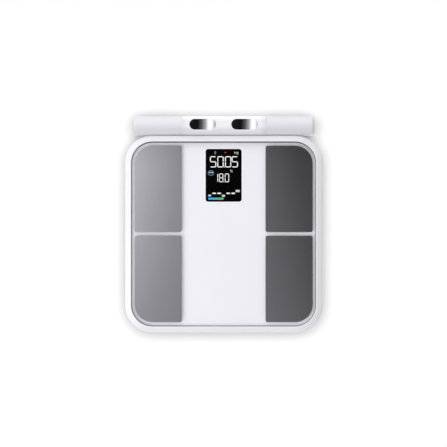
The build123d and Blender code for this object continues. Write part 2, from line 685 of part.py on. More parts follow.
def make_battery_door():
    """The door in the tray's underside: barrel edge and pins at its hinge, a cut-out tab at its catch."""
    front_y = BAY_Y - BAY_LENGTH / 2 + DOOR_GAP
    width = BAY_WIDTH - 2 * DOOR_GAP
    depth = DOOR_PIVOT_Y - front_y
    door = block(0, front_y + depth / 2, width, depth, TRAY_BOTTOM, FLOOR_TOP)
    door += across(DOOR_PIVOT_Y, DOOR_PIVOT_Z, TRAY_FLOOR / 2, width)
    door += across(DOOR_PIVOT_Y, DOOR_PIVOT_Z, DOOR_PIN_RADIUS, width + 2 * DOOR_PIN_LENGTH)
    for side in (-1, 1):
        slot_x, slot_y = side * DOOR_TAB_WIDTH / 2, front_y + DOOR_TAB_LENGTH / 2
        door -= block(slot_x, slot_y, DOOR_TAB_SLOT, DOOR_TAB_LENGTH, TRAY_BOTTOM, FLOOR_TOP)
    return door


# Cord reel

def make_reel_drum():
    """The flanged drum that the handle's cord winds on, with a pocket for its spring."""
    drum = post(REEL_X, REEL_Y, REEL_CORE, REEL_BOTTOM, REEL_TOP)
    for z in (REEL_BOTTOM, REEL_TOP - REEL_FLANGE_THICKNESS):
        drum += post(REEL_X, REEL_Y, REEL_FLANGE, z, z + REEL_FLANGE_THICKNESS)
    pocket_floor = REEL_BOTTOM + REEL_FLANGE_THICKNESS
    drum -= post(REEL_X, REEL_Y, REEL_CORE - REEL_WALL, pocket_floor, REEL_TOP)
    drum += post(REEL_X, REEL_Y, REEL_HUB, pocket_floor, REEL_BOTTOM + REEL_HUB_HEIGHT)
    return drum - post(REEL_X, REEL_Y, AXLE_RADIUS + RUNNING_GAP, REEL_BOTTOM, REEL_TOP)


def make_reel_axle():
    """The steel pin that the drum turns on."""
    return post(REEL_X, REEL_Y, AXLE_RADIUS, FLOOR_TOP, REEL_PLATE_BOTTOM + REEL_PLATE)


def make_reel_spring():
    """The flat spiral spring in the drum, drawn as half turns of growing radius."""
    inner = AXLE_RADIUS + SPRING_STRIP
    outer = REEL_CORE - REEL_WALL - SPRING_GAP - SPRING_STRIP
    step = (outer - inner) / (2 * SPRING_TURNS)
    coil = []
    end = inner
    for half_turn in range(2 * SPRING_TURNS):
        side = 1 if half_turn % 2 == 0 else -1
        radius = inner + step / 2 + half_turn * step
        middle = end - radius * side if half_turn else end - radius
        coil.append(CenterArc((middle, 0), radius, 0 if side > 0 else 180, 180))
        end = middle - radius * side
    strip = trace(Wire(coil), SPRING_STRIP)
    bottom = REEL_BOTTOM + REEL_HUB_HEIGHT + SPRING_GAP
    return Pos(REEL_X, REEL_Y, bottom) * extrude(strip, REEL_TOP - SPRING_GAP - bottom)


def make_reel_bridge():
    """The plate over the drum: it keeps the spring in and steadies the axle."""
    span = REEL_POSTS[1] - REEL_POSTS[0]
    plan = Circle(REEL_CORE) + SlotCenterToCenter(span, 2 * REEL_POST)
    plan -= Circle(AXLE_RADIUS + SCREW_GAP)
    for x in REEL_POSTS:
        plan -= Pos(x - REEL_X, 0) * Circle(SCREW_RADIUS + SCREW_GAP)
    return Pos(REEL_X, REEL_Y, REEL_PLATE_BOTTOM) * extrude(plan, REEL_PLATE)


# Dock fittings

def make_cord_outlet_bush():
    """The smooth bush that the cord leaves the dock wall through."""
    bush = rearward(0, CORD_Z, BUSH_RADIUS, DOCK_Y - BUSH_LENGTH, DOCK_Y)
    return bush - rearward(0, CORD_Z, BUSH_BORE, DOCK_Y - BUSH_LENGTH, DOCK_Y)


def make_dock_magnets():
    """The pair of disc magnets behind the dock wall."""
    skin = DOCK_Y - MAGNET_SKIN
    discs = [
        rearward(side * MAGNET_X, CORD_Z, MAGNET_RADIUS, skin - MAGNET_THICKNESS, skin) for side in (-1, 1)
    ]
    return Compound(children=discs)


# Handle

def make_handle_spine():
    """The tube that runs the handle's whole length inside its housings."""
    tube = Circle(SPINE_RADIUS) - Circle(SPINE_RADIUS - SPINE_WALL)
    length = HANDLE_LENGTH - 2 * CAP_THICKNESS
    return along_handle(tube, -length / 2, length)


def make_core():
    """The centre housing before it is split: a shell with a hole for the spine in each end wall."""
    core = along_handle(core_section(0), -CORE_LENGTH / 2, CORE_LENGTH)
    inside = CORE_LENGTH - 2 * CORE_WALL
    core -= along_handle(core_section(-CORE_WALL), -inside / 2, inside)
    return core - along_handle(Circle(SPINE_RADIUS + SLEEVE_GAP), -CORE_LENGTH / 2, CORE_LENGTH)


def beyond_seam(z, height):
    """A block over the centre housing from a height above the handle's axis, up or down."""
    low, high = sorted((HANDLE_Z + z, HANDLE_Z + z + height))
    return block(0, HANDLE_Y, HANDLE_LENGTH, 2 * HANDLE_DEPTH, low, high)


def thumb_outline(grow):
    """A thumb electrode's long round outline."""
    return SlotOverall(THUMB_LENGTH + 2 * grow, THUMB_WIDTH + 2 * grow)


def thumb_well(x, grow, depth):
    """What lies over a thumb dish: everything above a shallow scoop that is round along X."""
    top = HANDLE_Z + HANDLE_HEIGHT / 2
    rise = THUMB_DISH_RADIUS - (THUMB_DISH_RADIUS**2 - (THUMB_LENGTH / 2) ** 2) ** 0.5
    scoop = Pos(x, HANDLE_Y + THUMB_SHIFT, top - rise + THUMB_DISH_RADIUS) * Rot(90, 0, 0) * Cylinder(
        THUMB_DISH_RADIUS + depth, 2 * HANDLE_DEPTH
    )
    bottom = top - rise - depth
    column = Pos(x, HANDLE_Y + THUMB_SHIFT, bottom) * extrude(thumb_outline(grow), HANDLE_HEIGHT / 2)
    return scoop & column


def make_handle_lid():
    """The centre housing's upper shell, with the two thumb seats and screw posts."""
    lid = make_core() & beyond_seam(LID_RISE + SEAM_GAP, HANDLE_HEIGHT)
    for x in THUMB_PLACES:
        seat = Pos(x, HANDLE_Y + THUMB_SHIFT, HANDLE_Z + THUMB_SEAT) * extrude(
            thumb_outline(THUMB_RIM), HANDLE_HEIGHT / 2 - THUMB_SEAT - CORE_WALL / 2
        )
        lid += seat
        lid -= thumb_well(x, SEAM_GAP, THUMB_PLATE + GLUE_GAP)
    within = along_handle(core_section(-CORE_WALL / 2), -CORE_LENGTH / 2, CORE_LENGTH)
    seam = HANDLE_Z + LID_RISE + SEAM_GAP
    for x, y in LID_SCREWS:
        lid += post(x, y, LID_SCREW_POST, seam, HANDLE_Z + HANDLE_HEIGHT / 2) & within
        lid -= post(x, y, SCREW_RADIUS + SCREW_GAP, seam, LID_SCREW_SEAT + LID_SCREW_LENGTH + SEAM_GAP)
    return lid


def make_handle_tub():
    """The centre housing's lower shell, with the cord's inlet, board seat and screw posts."""
    tub = make_core() & beyond_seam(LID_RISE, -HANDLE_HEIGHT)
    floor = HANDLE_Z - HANDLE_HEIGHT / 2
    for x, y in LID_SCREWS:
        tub += post(x, y, LID_SCREW_POST, floor + CORE_WALL / 2, HANDLE_Z + LID_RISE)
        tub -= post(x, y, SCREW_RADIUS + SCREW_GAP, floor, HANDLE_Z + LID_RISE)
        tub -= post(x, y, SCREW_HEAD_RADIUS + SCREW_GAP, floor - SCREW_HEAD, LID_SCREW_SEAT)
    for side in (-1, 1):
        x = side * (HANDLE_BOARD_LENGTH / 2 - HANDLE_BOARD_WIDTH / 2)
        tub += post(x, HANDLE_Y, LID_SCREW_POST, floor + CORE_WALL / 2, HANDLE_BOARD_Z)
    front = HANDLE_Y - HANDLE_DEPTH
    return tub - rearward(0, CORD_Z, BUSH_RADIUS + GLUE_GAP, front, HANDLE_Y - SPINE_RADIUS)


def make_thumb_electrode(x):
    """The dished metal plate under a thumb."""
    return thumb_well(x, 0, THUMB_PLATE) - thumb_well(x, THUMB_RIM, 0)


def finger_sector(outer, inner):
    """The stretch of the grip's section that the fingers wrap round: below and behind."""
    reach = HANDLE_DEPTH
    sector = Pos(reach / 2, FINGER_REACH - reach / 2) * Rectangle(reach, reach)
    return (grip_section(outer) - grip_section(inner)) & sector


def make_grip(side):
    """One end grip: an oval sleeve on the spine, let in for its finger electrode."""
    start = grip_start(side)
    grip = along_handle(grip_section(0), start, GRIP_LENGTH)
    grip -= along_handle(grip_section(-GRIP_WALL), start + GRIP_WALL, GRIP_LENGTH - 2 * GRIP_WALL)
    grip -= along_handle(Circle(SPINE_RADIUS + SLEEVE_GAP), start, GRIP_LENGTH)
    seat = start + FINGER_END_MARGIN - GLUE_GAP
    length = GRIP_LENGTH - 2 * FINGER_END_MARGIN + 2 * GLUE_GAP
    return grip - along_handle(finger_sector(GRIP_WALL, -FINGER_PLATE - GLUE_GAP), seat, length)


def make_finger_electrode(side):
    """The curved metal plate let into a grip, under and behind it."""
    start = grip_start(side) + FINGER_END_MARGIN
    sector = finger_sector(0, -FINGER_PLATE) & Pos(GLUE_GAP, -GLUE_GAP) * Pos(
        HANDLE_DEPTH / 2, FINGER_REACH - HANDLE_DEPTH / 2
    ) * Rectangle(HANDLE_DEPTH, HANDLE_DEPTH)
    return along_handle(sector, start, GRIP_LENGTH - 2 * FINGER_END_MARGIN)


def make_end_cap(side):
    """The rounded plug that closes one end of the handle."""
    start = HANDLE_LENGTH / 2 - CAP_THICKNESS if side > 0 else -HANDLE_LENGTH / 2
    cap = along_handle(grip_section(0), start, CAP_THICKNESS)
    outer = cap.edges().group_by(Axis.X)[-1 if side > 0 else 0]
    cap = fillet(outer, CAP_ROUND)
    inner_x = side * (HANDLE_LENGTH / 2 - CAP_THICKNESS)
    spigot_start = inner_x - CAP_SPIGOT if side > 0 else inner_x
    return cap + along_handle(Circle(SPINE_RADIUS - SPINE_WALL - SLEEVE_GAP), spigot_start, CAP_SPIGOT)


def make_handle_board():
    """The small circuit board under the spine that joins the electrodes to the cord."""
    return block(
        0, HANDLE_Y, HANDLE_BOARD_LENGTH, HANDLE_BOARD_WIDTH, HANDLE_BOARD_Z,
        HANDLE_BOARD_Z + HANDLE_BOARD_THICKNESS,
    )


def make_handle_magnets():
    """The magnets inside the handle's front wall that hold it in its dock."""
    wall = HANDLE_Y - HANDLE_DEPTH / 2 + CORE_WALL + GLUE_GAP
    discs = [
        rearward(side * MAGNET_X, CORD_Z, MAGNET_RADIUS, wall, wall + MAGNET_THICKNESS) for side in (-1, 1)
    ]
    return Compound(children=discs)


def make_cord_inlet_bush():
    """The bush in the handle's front wall that the cord enters by."""
    face = HANDLE_Y - HANDLE_DEPTH / 2
    bush = rearward(0, CORD_Z, BUSH_RADIUS, face, face + BUSH_LENGTH)
    return bush - rearward(0, CORD_Z, BUSH_BORE, face, face + BUSH_LENGTH)


# Screws

def make_body_screws():
    """The screws that hold the tray up to the frame."""
    seat = TRAY_BOTTOM + SCREW_HEAD + HEAD_SINK
    return Compound(children=[screw(x, y, seat, SCREW_LENGTH, True) for x, y in SCREW_PLACES])


def make_inner_screws():
    """The screws that hold the main board and the reel's bridge to the tray."""
    screws = [screw(x, y, BOARD_TOP, BOARD_SCREW_LENGTH, False) for x, y in BOARD_CORNERS]
    top = REEL_PLATE_BOTTOM + REEL_PLATE
    return Compound(children=screws + [screw(x, REEL_Y, top, SCREW_LENGTH, False) for x in REEL_POSTS])


def make_handle_screws():
    """The screws that close the handle's centre housing from below."""
    return Compound(children=[screw(x, y, LID_SCREW_SEAT, LID_SCREW_LENGTH, True) for x, y in LID_SCREWS])


def all_nodes():
    """Every node's name with its solid."""
    nodes = {
        "top_frame": make_top_frame(),
        "base_tray": make_base_tray(),
        "glass_platform": make_glass_platform(),
        "glass_back_print": make_glass_back_print(),
        "glass_bonding_tape": make_glass_bonding_tape(),
        "glass_edge_seal": make_glass_edge_seal(),
        "electrode_left_toe": make_electrode(-1, 1),
        "electrode_right_toe": make_electrode(1, 1),
        "electrode_left_heel": make_electrode(-1, -1),
        "electrode_right_heel": make_electrode(1, -1),
        "display_module": make_display_module(),
        "display_holder": make_display_holder(),
        "display_flex": make_display_flex(),
        "main_board": make_main_board(),
        "board_components": make_board_components(),
        "unit_switch": make_unit_switch(),
        "unit_button": make_unit_button(),
        "load_cell_leads": make_load_cell_leads(),
        "battery_contacts_front": make_battery_contacts(-1),
        "battery_contacts_rear": make_battery_contacts(1),
        "battery_door": make_battery_door(),
        "reel_drum": make_reel_drum(),
        "reel_axle": make_reel_axle(),
        "reel_spring": make_reel_spring(),
        "reel_bridge": make_reel_bridge(),
        "cord_outlet_bush": make_cord_outlet_bush(),
        "dock_magnets": make_dock_magnets(),
        "body_screws": make_body_screws(),
        "inner_screws": make_inner_screws(),
        "handle_spine": make_handle_spine(),
        "handle_lid": make_handle_lid(),
        "handle_tub": make_handle_tub(),
        "handle_board": make_handle_board(),
        "handle_magnets": make_handle_magnets(),
        "handle_screws": make_handle_screws(),
        "cord_inlet_bush": make_cord_inlet_bush(),
    }
    for corner, (x, y) in CORNERS.items():
        nodes[f"foot_pad_{corner}"] = make_foot_pad(x, y)
        nodes[f"foot_cup_{corner}"] = make_foot_cup(x, y)
        nodes[f"load_cell_{corner}"] = make_load_cell(x, y)
    for index in range(BATTERY_COUNT):
        nodes[f"battery_{index + 1}"] = make_battery(index)
    for side, label in ((-1, "left"), (1, "right")):
        nodes[f"grip_{label}"] = make_grip(side)
        nodes[f"finger_electrode_{label}"] = make_finger_electrode(side)
        nodes[f"end_cap_{label}"] = make_end_cap(side)
        nodes[f"thumb_electrode_{label}"] = make_thumb_electrode(side * THUMB_PITCH / 2)
    return nodes


if __name__ == "__main__":
    os.makedirs("parts", exist_ok=True)
    for name, shape in all_nodes().items():
        export_step(shape, f"parts/{name}.step")
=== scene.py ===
# %% [markdown]
# # A bathroom scale with an electrode handle
# The real object is a square glass platform in a white moulded body, with four metal foot electrodes, a
# black display, and a two-handed handle bar lying in a berth along its rear edge. The imported CAD model
# already holds every rigid shape at its true place, so this lesson mostly dresses those shapes. Only the
# lit signs of the display and the screws are modelled here, because they are too fine for the CAD, and a
# thin dark strip of painted shadow along the rear joint of the glass.

import math

import bmesh
import bpy
from mathutils import Matrix, Vector


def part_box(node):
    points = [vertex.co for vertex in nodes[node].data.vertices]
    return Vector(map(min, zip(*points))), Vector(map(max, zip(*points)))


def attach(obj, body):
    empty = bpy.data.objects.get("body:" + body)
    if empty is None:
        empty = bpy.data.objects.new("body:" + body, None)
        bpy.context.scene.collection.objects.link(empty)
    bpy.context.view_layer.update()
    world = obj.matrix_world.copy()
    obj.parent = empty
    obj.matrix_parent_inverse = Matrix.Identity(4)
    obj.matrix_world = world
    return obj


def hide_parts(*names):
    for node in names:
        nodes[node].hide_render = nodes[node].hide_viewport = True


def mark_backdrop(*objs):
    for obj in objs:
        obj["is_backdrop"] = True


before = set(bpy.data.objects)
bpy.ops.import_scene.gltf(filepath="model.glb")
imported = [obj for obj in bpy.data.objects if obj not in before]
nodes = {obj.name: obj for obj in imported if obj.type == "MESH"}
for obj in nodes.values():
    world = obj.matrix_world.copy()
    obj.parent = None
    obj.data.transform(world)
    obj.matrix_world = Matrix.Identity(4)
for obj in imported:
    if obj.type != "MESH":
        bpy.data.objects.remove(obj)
scene = bpy.context.scene
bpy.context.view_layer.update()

# %% [markdown]
# ## The camera
# The photograph is a catalogue shot from straight above. A long lens far away keeps the sides from showing,
# so the platform stays a true square. One pixel of the square picture is about a millimetre and a half, and
# the picture's middle lies a little behind the middle of the platform because the handle is in it too.

# %% Place the camera
PICTURE = 447
MM_PER_PIXEL = 1.519
LENS_MM = 400
RIM_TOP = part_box("top_frame")[1].z
AIM = (-0.0002, 0.0013)

camera_data = bpy.data.cameras.new("overhead_camera")
camera_data.lens = LENS_MM
picture_width = PICTURE * MM_PER_PIXEL / 1000
camera_height = picture_width * LENS_MM / camera_data.sensor_width
camera = bpy.data.objects.new("overhead_camera", camera_data)
camera.location = (AIM[0], AIM[1], RIM_TOP + camera_height)
scene.collection.objects.link(camera)
scene.camera = camera
scene.view_settings.view_transform = "Standard"
print("camera", [round(v, 3) for v in camera.location], "sees", round(picture_width, 3), "m")

# %% [markdown]
# ## Helpers for node trees
# Every finish below is a tree of shader nodes. They could all be added and linked one by one, but those
# lines differ little. So a few helpers add a node, link the last shader to the output, do a sum with two
# values, move a value to another range and mix two shaders.

# %% Add nodes and link them
def add_node(tree, kind, settings=None, **links):
    """A node of that kind with its sockets set by value, or linked where a socket is given."""
    node = tree.nodes.new(kind)
    for key, value in (settings or {}).items():
        if key in node.inputs and not hasattr(node, key):
            node.inputs[key].default_value = value
        else:
            setattr(node, key, value)
    for key, socket in links.items():
        tree.links.new(socket, node.inputs[key.replace("_", " ")])
    return node


def show(tree, shader, kind="ShaderNodeOutputMaterial"):
    """Links a shader to the output that the renderer reads."""
    tree.links.new(shader.outputs[0], tree.nodes.new(kind).inputs[0])


def empty_material(name):
    """A material with an empty node tree, and that tree."""
    material = bpy.data.materials.new(name)
    material.use_nodes = True
    material.node_tree.nodes.clear()
    return material, material.node_tree


print("helpers for nodes", [helper.__name__ for helper in (add_node, show, empty_material)])

# %% Sums, ranges and mixes
def maths(tree, operation, first, second, clamp=False):
    """One sum of two node values, which may be held between nought and one."""
    node = add_node(tree, "ShaderNodeMath", {"operation": operation, "use_clamp": clamp})
    tree.links.new(first, node.inputs[0])
    tree.links.new(second, node.inputs[1])
    return node.outputs[0]


def rescaled(tree, value, low, high, start=0.0, end=1.0, clamp=True):
    """A node value that runs from start to end, made to run from low to high."""
    reach = {"From Min": start, "From Max": end, "To Min": low, "To Max": high, "clamp": clamp}
    return add_node(tree, "ShaderNodeMapRange", reach, Value=value).outputs[0]


def mixed(tree, share, first, second):
    """Two shaders mixed, by the share of the second."""
    mix = add_node(tree, "ShaderNodeMixShader", Fac=share)
    tree.links.new(first.outputs[0], mix.inputs[1])
    tree.links.new(second.outputs[0], mix.inputs[2])
    return mix


print("helpers for values", [helper.__name__ for helper in (maths, rescaled, mixed)])

# %% [markdown]
# ## The floor
# The scale lies on a plain white sweep. Light that goes back and forth between a white floor and a white
# body washes the soft shadow away, so the floor is paler for the rays that look at it than for the light
# that it throws back. Seen from underneath it is clear, so that the underside can be looked at. It lies a
# hair below the feet, so that no two faces share a plane.

# %% Lay the floor
FLOOR_SIZE = 8.0
FLOOR_DROP = 0.0002
FLOOR_TONE = 0.72
FLOOR_BOUNCE = 0.34


def seen_directly(tree):
    """One for the rays that look, straight, in a mirror or through glass, and nought for the rest."""
    path = tree.nodes.new("ShaderNodeLightPath")
    mirror, through = path.outputs["Is Glossy Ray"], path.outputs["Is Transmission Ray"]
    in_or_through = maths(tree, "ADD", mirror, through, clamp=True)
    return maths(tree, "ADD", path.outputs["Is Camera Ray"], in_or_through, clamp=True)


def flat_sheet(name, size, height):
    """A single square face, for the floor and for the card that hangs over the object."""
    half = size / 2
    corners = [(-half, -half, 0), (half, -half, 0), (half, half, 0), (-half, half, 0)]
    mesh = bpy.data.meshes.new(name)
    mesh.from_pydata(corners, [], [(0, 1, 2, 3)])
    sheet = bpy.data.objects.new(name, mesh)
    sheet.location.z = height
    scene.collection.objects.link(sheet)
    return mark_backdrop(sheet) or sheet


floor = flat_sheet("floor", FLOOR_SIZE, -FLOOR_DROP)
floor_material, tree = empty_material("white_sweep")
seen = rescaled(tree, seen_directly(tree), FLOOR_BOUNCE, FLOOR_TONE)
matt = add_node(tree, "ShaderNodeBsdfDiffuse", Color=seen)
clear = tree.nodes.new("ShaderNodeBsdfTransparent")
from_below = tree.nodes.new("ShaderNodeNewGeometry").outputs["Backfacing"]
show(tree, mixed(tree, from_below, matt, clear))
floor.data.materials.append(floor_material)
print("floor", FLOOR_SIZE, "m wide")

# %% [markdown]
# ## The light
# The photograph is lit softly and a little more from the left. So one large softbox stands at the left, a
# low one behind the handle, and one overhead, which reaches the white print in the narrow joints. With a
# plain white room they add up to about one, the level at which a colour renders as it is written. Two more
# softboxes are for the handle alone, and a lamp under the floor shows the underside.

# %% Light the room
ROOM_LIGHT = 0.42

room = bpy.data.worlds.new("white_room")
scene.world = room
room.use_nodes = True
tree = room.node_tree
tree.nodes.clear()
veil = rescaled(tree, seen_directly(tree), ROOM_LIGHT, 1.0)
air = add_node(tree, "ShaderNodeBackground", {"Color": (1, 1, 1, 1)}, Strength=veil)
show(tree, air, "ShaderNodeOutputWorld")
print("room light", ROOM_LIGHT)

# %% Stand up the lamps
BOX_SIZE = 1.6
UNDER_SIZE = 1.2
# Name, place and size in metres, and power in watts.
SOFTBOXES = [
    ("left_softbox", (-1.66, -0.78, 1.5), BOX_SIZE, 23.0),
    ("rear_softbox", (-0.2, 2.3, 0.6), BOX_SIZE, 27.0),
    ("top_softbox", (0.0, 0.0, 2.2), BOX_SIZE, 12.0),
    ("under_lamp", (0.2, -0.3, -1.2), UNDER_SIZE, 13.0),
    ("core_softbox", (0.0, 0.5, 2.0), BOX_SIZE, 9.4),
    ("grip_softbox", (0.0, 2.0, 0.1), BOX_SIZE, 11.0),
]
FLOOR_SUN = 3.2
FLOOR_SUN_SPREAD = math.radians(76)
FLOOR_SUN_FROM = (-0.05, 0.05, 1.0)


def stand_up(lamp, place):
    """A lamp on a stand, turned to the middle of the object."""
    stand = bpy.data.objects.new(lamp.name, lamp)
    stand.location = place
    stand.rotation_euler = (-Vector(place)).to_track_quat("-Z", "Y").to_euler()
    scene.collection.objects.link(stand)
    return stand


lamps = {}
for name, place, size, power in SOFTBOXES:
    softbox = bpy.data.lights.new(name, "AREA")
    softbox.size = size
    softbox.energy = power
    lamps[name] = stand_up(softbox, place)
sun = bpy.data.lights.new("floor_sun", "SUN")
sun.energy = FLOOR_SUN
sun.angle = FLOOR_SUN_SPREAD
lamps["floor_sun"] = stand_up(sun, FLOOR_SUN_FROM)
print("lamps", list(lamps))

# %% [markdown]
# Light linking does what flags on stands do in a studio. The floor has a broad sun of its own, so the
# shadow round the body can be set without touching the body. The middle of the handle is kept out of the
# left softbox and lit from above and behind, because its front flank is the darker one. The grips' low
# softbox draws the pale line along their rear edge. The light from below is not passed on, so that nothing
# leaks out round the body, and four of the softboxes are kept out of mirrors, where they would show as
# white squares.

# %% Flag the lamps
CORE_SHELL = ["handle_lid", "handle_tub"]
GRIP_SHELL = ["grip_left", "grip_right", "end_cap_left", "end_cap_right"]
UNMIRRORED = ["rear_softbox", "top_softbox", "core_softbox", "grip_softbox"]


def light_group(name, pieces, state):
    """Pieces that a lamp lights alone, with INCLUDE, or leaves out, with EXCLUDE."""
    group = bpy.data.collections.new(name)
    for piece in pieces:
        group.objects.link(piece)
    for entry in group.collection_objects:
        entry.light_linking.link_state = state
    return group


core_shell = [nodes[name] for name in CORE_SHELL]
grip_shell = [nodes[name] for name in GRIP_SHELL]
past_floor = light_group("past_floor", [floor], "EXCLUDE")
flags = {
    "rear_softbox": past_floor,
    "top_softbox": past_floor,
    "left_softbox": light_group("past_floor_and_core", [floor, *core_shell], "EXCLUDE"),
    "core_softbox": light_group("only_core", core_shell, "INCLUDE"),
    "grip_softbox": light_group("only_grips", grip_shell, "INCLUDE"),
    "floor_sun": light_group("only_floor", [floor], "INCLUDE"),
}
for name, group in flags.items():
    lamps[name].light_linking.receiver_collection = group
lamps["under_lamp"].light_linking.blocker_collection = past_floor
lamps["under_lamp"].data.cycles.max_bounces = 0
for name in UNMIRRORED:
    lamps[name].visible_glossy = False
    lamps[name].visible_camera = False
print("flags", {name: group.name for name, group in flags.items()})

# %% [markdown]
# ## The card that the metal mirrors
# Polished metal has no look of its own: it shows the room. In the photograph the foot electrodes fade from
# pale at the left to dark at the right, and the thumb dishes from black to white, so a graded card hangs
# overhead, bright at the left and black at the right. Only mirrored rays see it: it lights nothing. Its
# grades fan out toward the rear, and the rear part, which only the thumb dishes mirror, is moved along a
# little.

# %% Hang the graded card
CARD_HEIGHT = 1.0
CARD_SIZE = 2.6
# Place from left to right in metres, and brightness.
CARD_STOPS = [
    (-0.81, 0.43), (-0.55, 1.10), (-0.47, 1.30), (-0.30, 1.25), (-0.19, 0.82), (-0.10, 0.455),
    (-0.055, 0.36), (0.00, 0.295), (0.06, 0.21), (0.15, 0.085), (0.27, 0.045), (0.38, 0.006), (0.80, 0.012),
]
CARD_FAN = 2.0
CARD_SHIFT = 0.14
SHIFT_FROM, SHIFT_TO = 0.140, 0.165

card = flat_sheet("graded_card", CARD_SIZE, CARD_HEIGHT)
card_material, tree = empty_material("graded_card")
place = tree.nodes.new("ShaderNodeTexCoord").outputs["Object"]
split = add_node(tree, "ShaderNodeSeparateXYZ", Vector=place)
fan = rescaled(tree, split.outputs["Y"], 1.0, 1.0 + CARD_FAN, clamp=False)
spread = maths(tree, "MULTIPLY", split.outputs["X"], fan)
shift = rescaled(tree, split.outputs["Y"], 0.0, CARD_SHIFT, SHIFT_FROM, SHIFT_TO)
moved = maths(tree, "ADD", spread, shift)
along = rescaled(tree, moved, 0.0, 1.0, -CARD_SIZE / 2, CARD_SIZE / 2)
ramp = add_node(tree, "ShaderNodeValToRGB", Fac=along)
stops = ramp.color_ramp.elements
while len(stops) < len(CARD_STOPS):
    stops.new(position=0.5)
for stop, (x, light) in zip(stops, CARD_STOPS):
    stop.position = (x + CARD_SIZE / 2) / CARD_SIZE
    stop.color = (light, light, light, 1.0)
show(tree, add_node(tree, "ShaderNodeEmission", Color=ramp.outputs[0]))
card.data.materials.append(card_material)
card.visible_camera = card.visible_diffuse = card.visible_shadow = False
card.visible_transmission = card.visible_volume_scatter = False
print("card stops", len(stops), "at", CARD_HEIGHT, "m")

# %% [markdown]
# ## Moulded plastic
# The body, tray and handle are white moulded plastic. Real mouldings are never one flat colour: the tone
# drifts softly over a few centimetres, the gloss varies a little, and the tool leaves a fine texture. Noise
# in object space gives all three without any picture, and it stays put when a piece moves.

# %% Turn screen colours into light
def linear(value):
    """One screen value from 0 to 255, as the linear light of shaders, by the sRGB curve."""
    value = value / 255
    return value / 12.92 if value <= 0.04045 else ((value + 0.055) / 1.055) ** 2.4


def tone(red, green, blue):
    """A screen colour as a linear RGBA."""
    return (linear(red), linear(green), linear(blue), 1.0)


print("white 255 is", linear(255), "and mid grey 128 is", round(linear(128), 3))

# %% Noise in object space
NOISE_LOW, NOISE_HIGH = 0.3, 0.7


def new_finish(name):
    """A material with nothing but a Principled shader, its tree and that shader."""
    material, tree = empty_material(name)
    skin = tree.nodes.new("ShaderNodeBsdfPrincipled")
    show(tree, skin)
    return material, tree, skin


def clouds(tree, size, detail=2.0, stretch=None):
    """Soft noise in object space, with clouds of about that size, which may be drawn out one way."""
    place = tree.nodes.new("ShaderNodeTexCoord").outputs["Object"]
    if stretch:
        place = add_node(tree, "ShaderNodeMapping", {"Scale": stretch}, Vector=place).outputs[0]
    noise = add_node(tree, "ShaderNodeTexNoise", {"Scale": 1 / size, "Detail": detail}, Vector=place)
    return noise.outputs["Fac"]


def between(tree, noise, low, high):
    """A noise value, most of which lies well inside nought and one, stretched to run from low to high."""
    return rescaled(tree, noise, low, high, NOISE_LOW, NOISE_HIGH)


print("noise is read from", NOISE_LOW, "to", NOISE_HIGH)

# %% Tones, relief and dressing
def two_tones(tree, share, first, second):
    """A colour that goes from the first tone to the second with a value."""
    mix = add_node(tree, "ShaderNodeMix", {"data_type": "RGBA"})
    tree.links.new(share, mix.inputs["Factor"])
    colours = [socket for socket in mix.inputs if socket.type == "RGBA"]
    colours[0].default_value, colours[1].default_value = first, second
    return next(socket for socket in mix.outputs if socket.type == "RGBA")


def drifting(tree, light, shade, size):
    """A colour that drifts between two near tones, over clouds of that size."""
    return two_tones(tree, between(tree, clouds(tree, size), 0.0, 1.0), light, shade)


def dimple(tree, skin, height, depth):
    """Fine relief of that depth in metres, from a height value."""
    bump = add_node(tree, "ShaderNodeBump", {"Strength": 1.0, "Distance": depth}, Height=height)
    tree.links.new(bump.outputs[0], skin.inputs["Normal"])


def dress(material, pieces):
    """Gives CAD nodes a material in place of the one they came with."""
    for name in pieces:
        mesh = nodes[name].data
        mesh.materials.clear()
        mesh.materials.append(material)
    return material


print("CAD nodes to dress", len(nodes))

# %% [markdown]
# The lid and the tub of the handle look brighter in the middle than beside the grips, so their tone fades
# toward the ends instead of drifting. The grips have a rougher texture, which holds better in the hand, and
# so has the tray underneath. One row of a table describes each moulding, because they differ only in values.

# %% Finish the white mouldings
TONE_CLOUD = 0.05
GLOSS_CLOUD = 0.012
HANDLE_FADE = (0.054, 0.064)
TRAY_SHELL = ["base_tray", "battery_door", "display_holder"]
# Name, pieces, two tones on screen, roughness range, size and depth of the grain in metres.
WHITE_MOULDINGS = [
    ("case_white", ["top_frame"], (244, 243, 248), (242, 241, 247), (0.30, 0.36), 0.0011, 2e-6),
    ("tray_white", TRAY_SHELL, (241, 241, 243), (238, 238, 241), (0.50, 0.60), 0.0006, 8e-6),
    ("handle_white", CORE_SHELL, (245, 244, 249), (230, 229, 235), (0.30, 0.36), 0.0011, 2e-6, HANDLE_FADE),
    ("grip_white", GRIP_SHELL, (224, 223, 229), (221, 220, 226), (0.46, 0.54), 0.0006, 6e-6),
]


def toward_ends(tree, start, end):
    """Nought within start of the middle of a piece along X, and one beyond end."""
    place = tree.nodes.new("ShaderNodeTexCoord").outputs["Object"]
    along = add_node(tree, "ShaderNodeSeparateXYZ", Vector=place).outputs["X"]
    away = add_node(tree, "ShaderNodeMath", {"operation": "ABSOLUTE"})
    tree.links.new(along, away.inputs[0])
    return rescaled(tree, away.outputs[0], 0.0, 1.0, start, end)


def moulded(name, pieces, light, shade, gloss, grain, depth, fade=None):
    """Moulded plastic whose tones drift with clouds, or fade toward the ends between two places."""
    material, tree, skin = new_finish(name)
    if fade:
        colour = two_tones(tree, toward_ends(tree, *fade), tone(*light), tone(*shade))
    else:
        colour = drifting(tree, tone(*light), tone(*shade), TONE_CLOUD)
    tree.links.new(colour, skin.inputs["Base Color"])
    tree.links.new(between(tree, clouds(tree, GLOSS_CLOUD, detail=3.0), *gloss), skin.inputs["Roughness"])
    dimple(tree, skin, clouds(tree, grain, detail=1.0), depth)
    return dress(material, pieces)


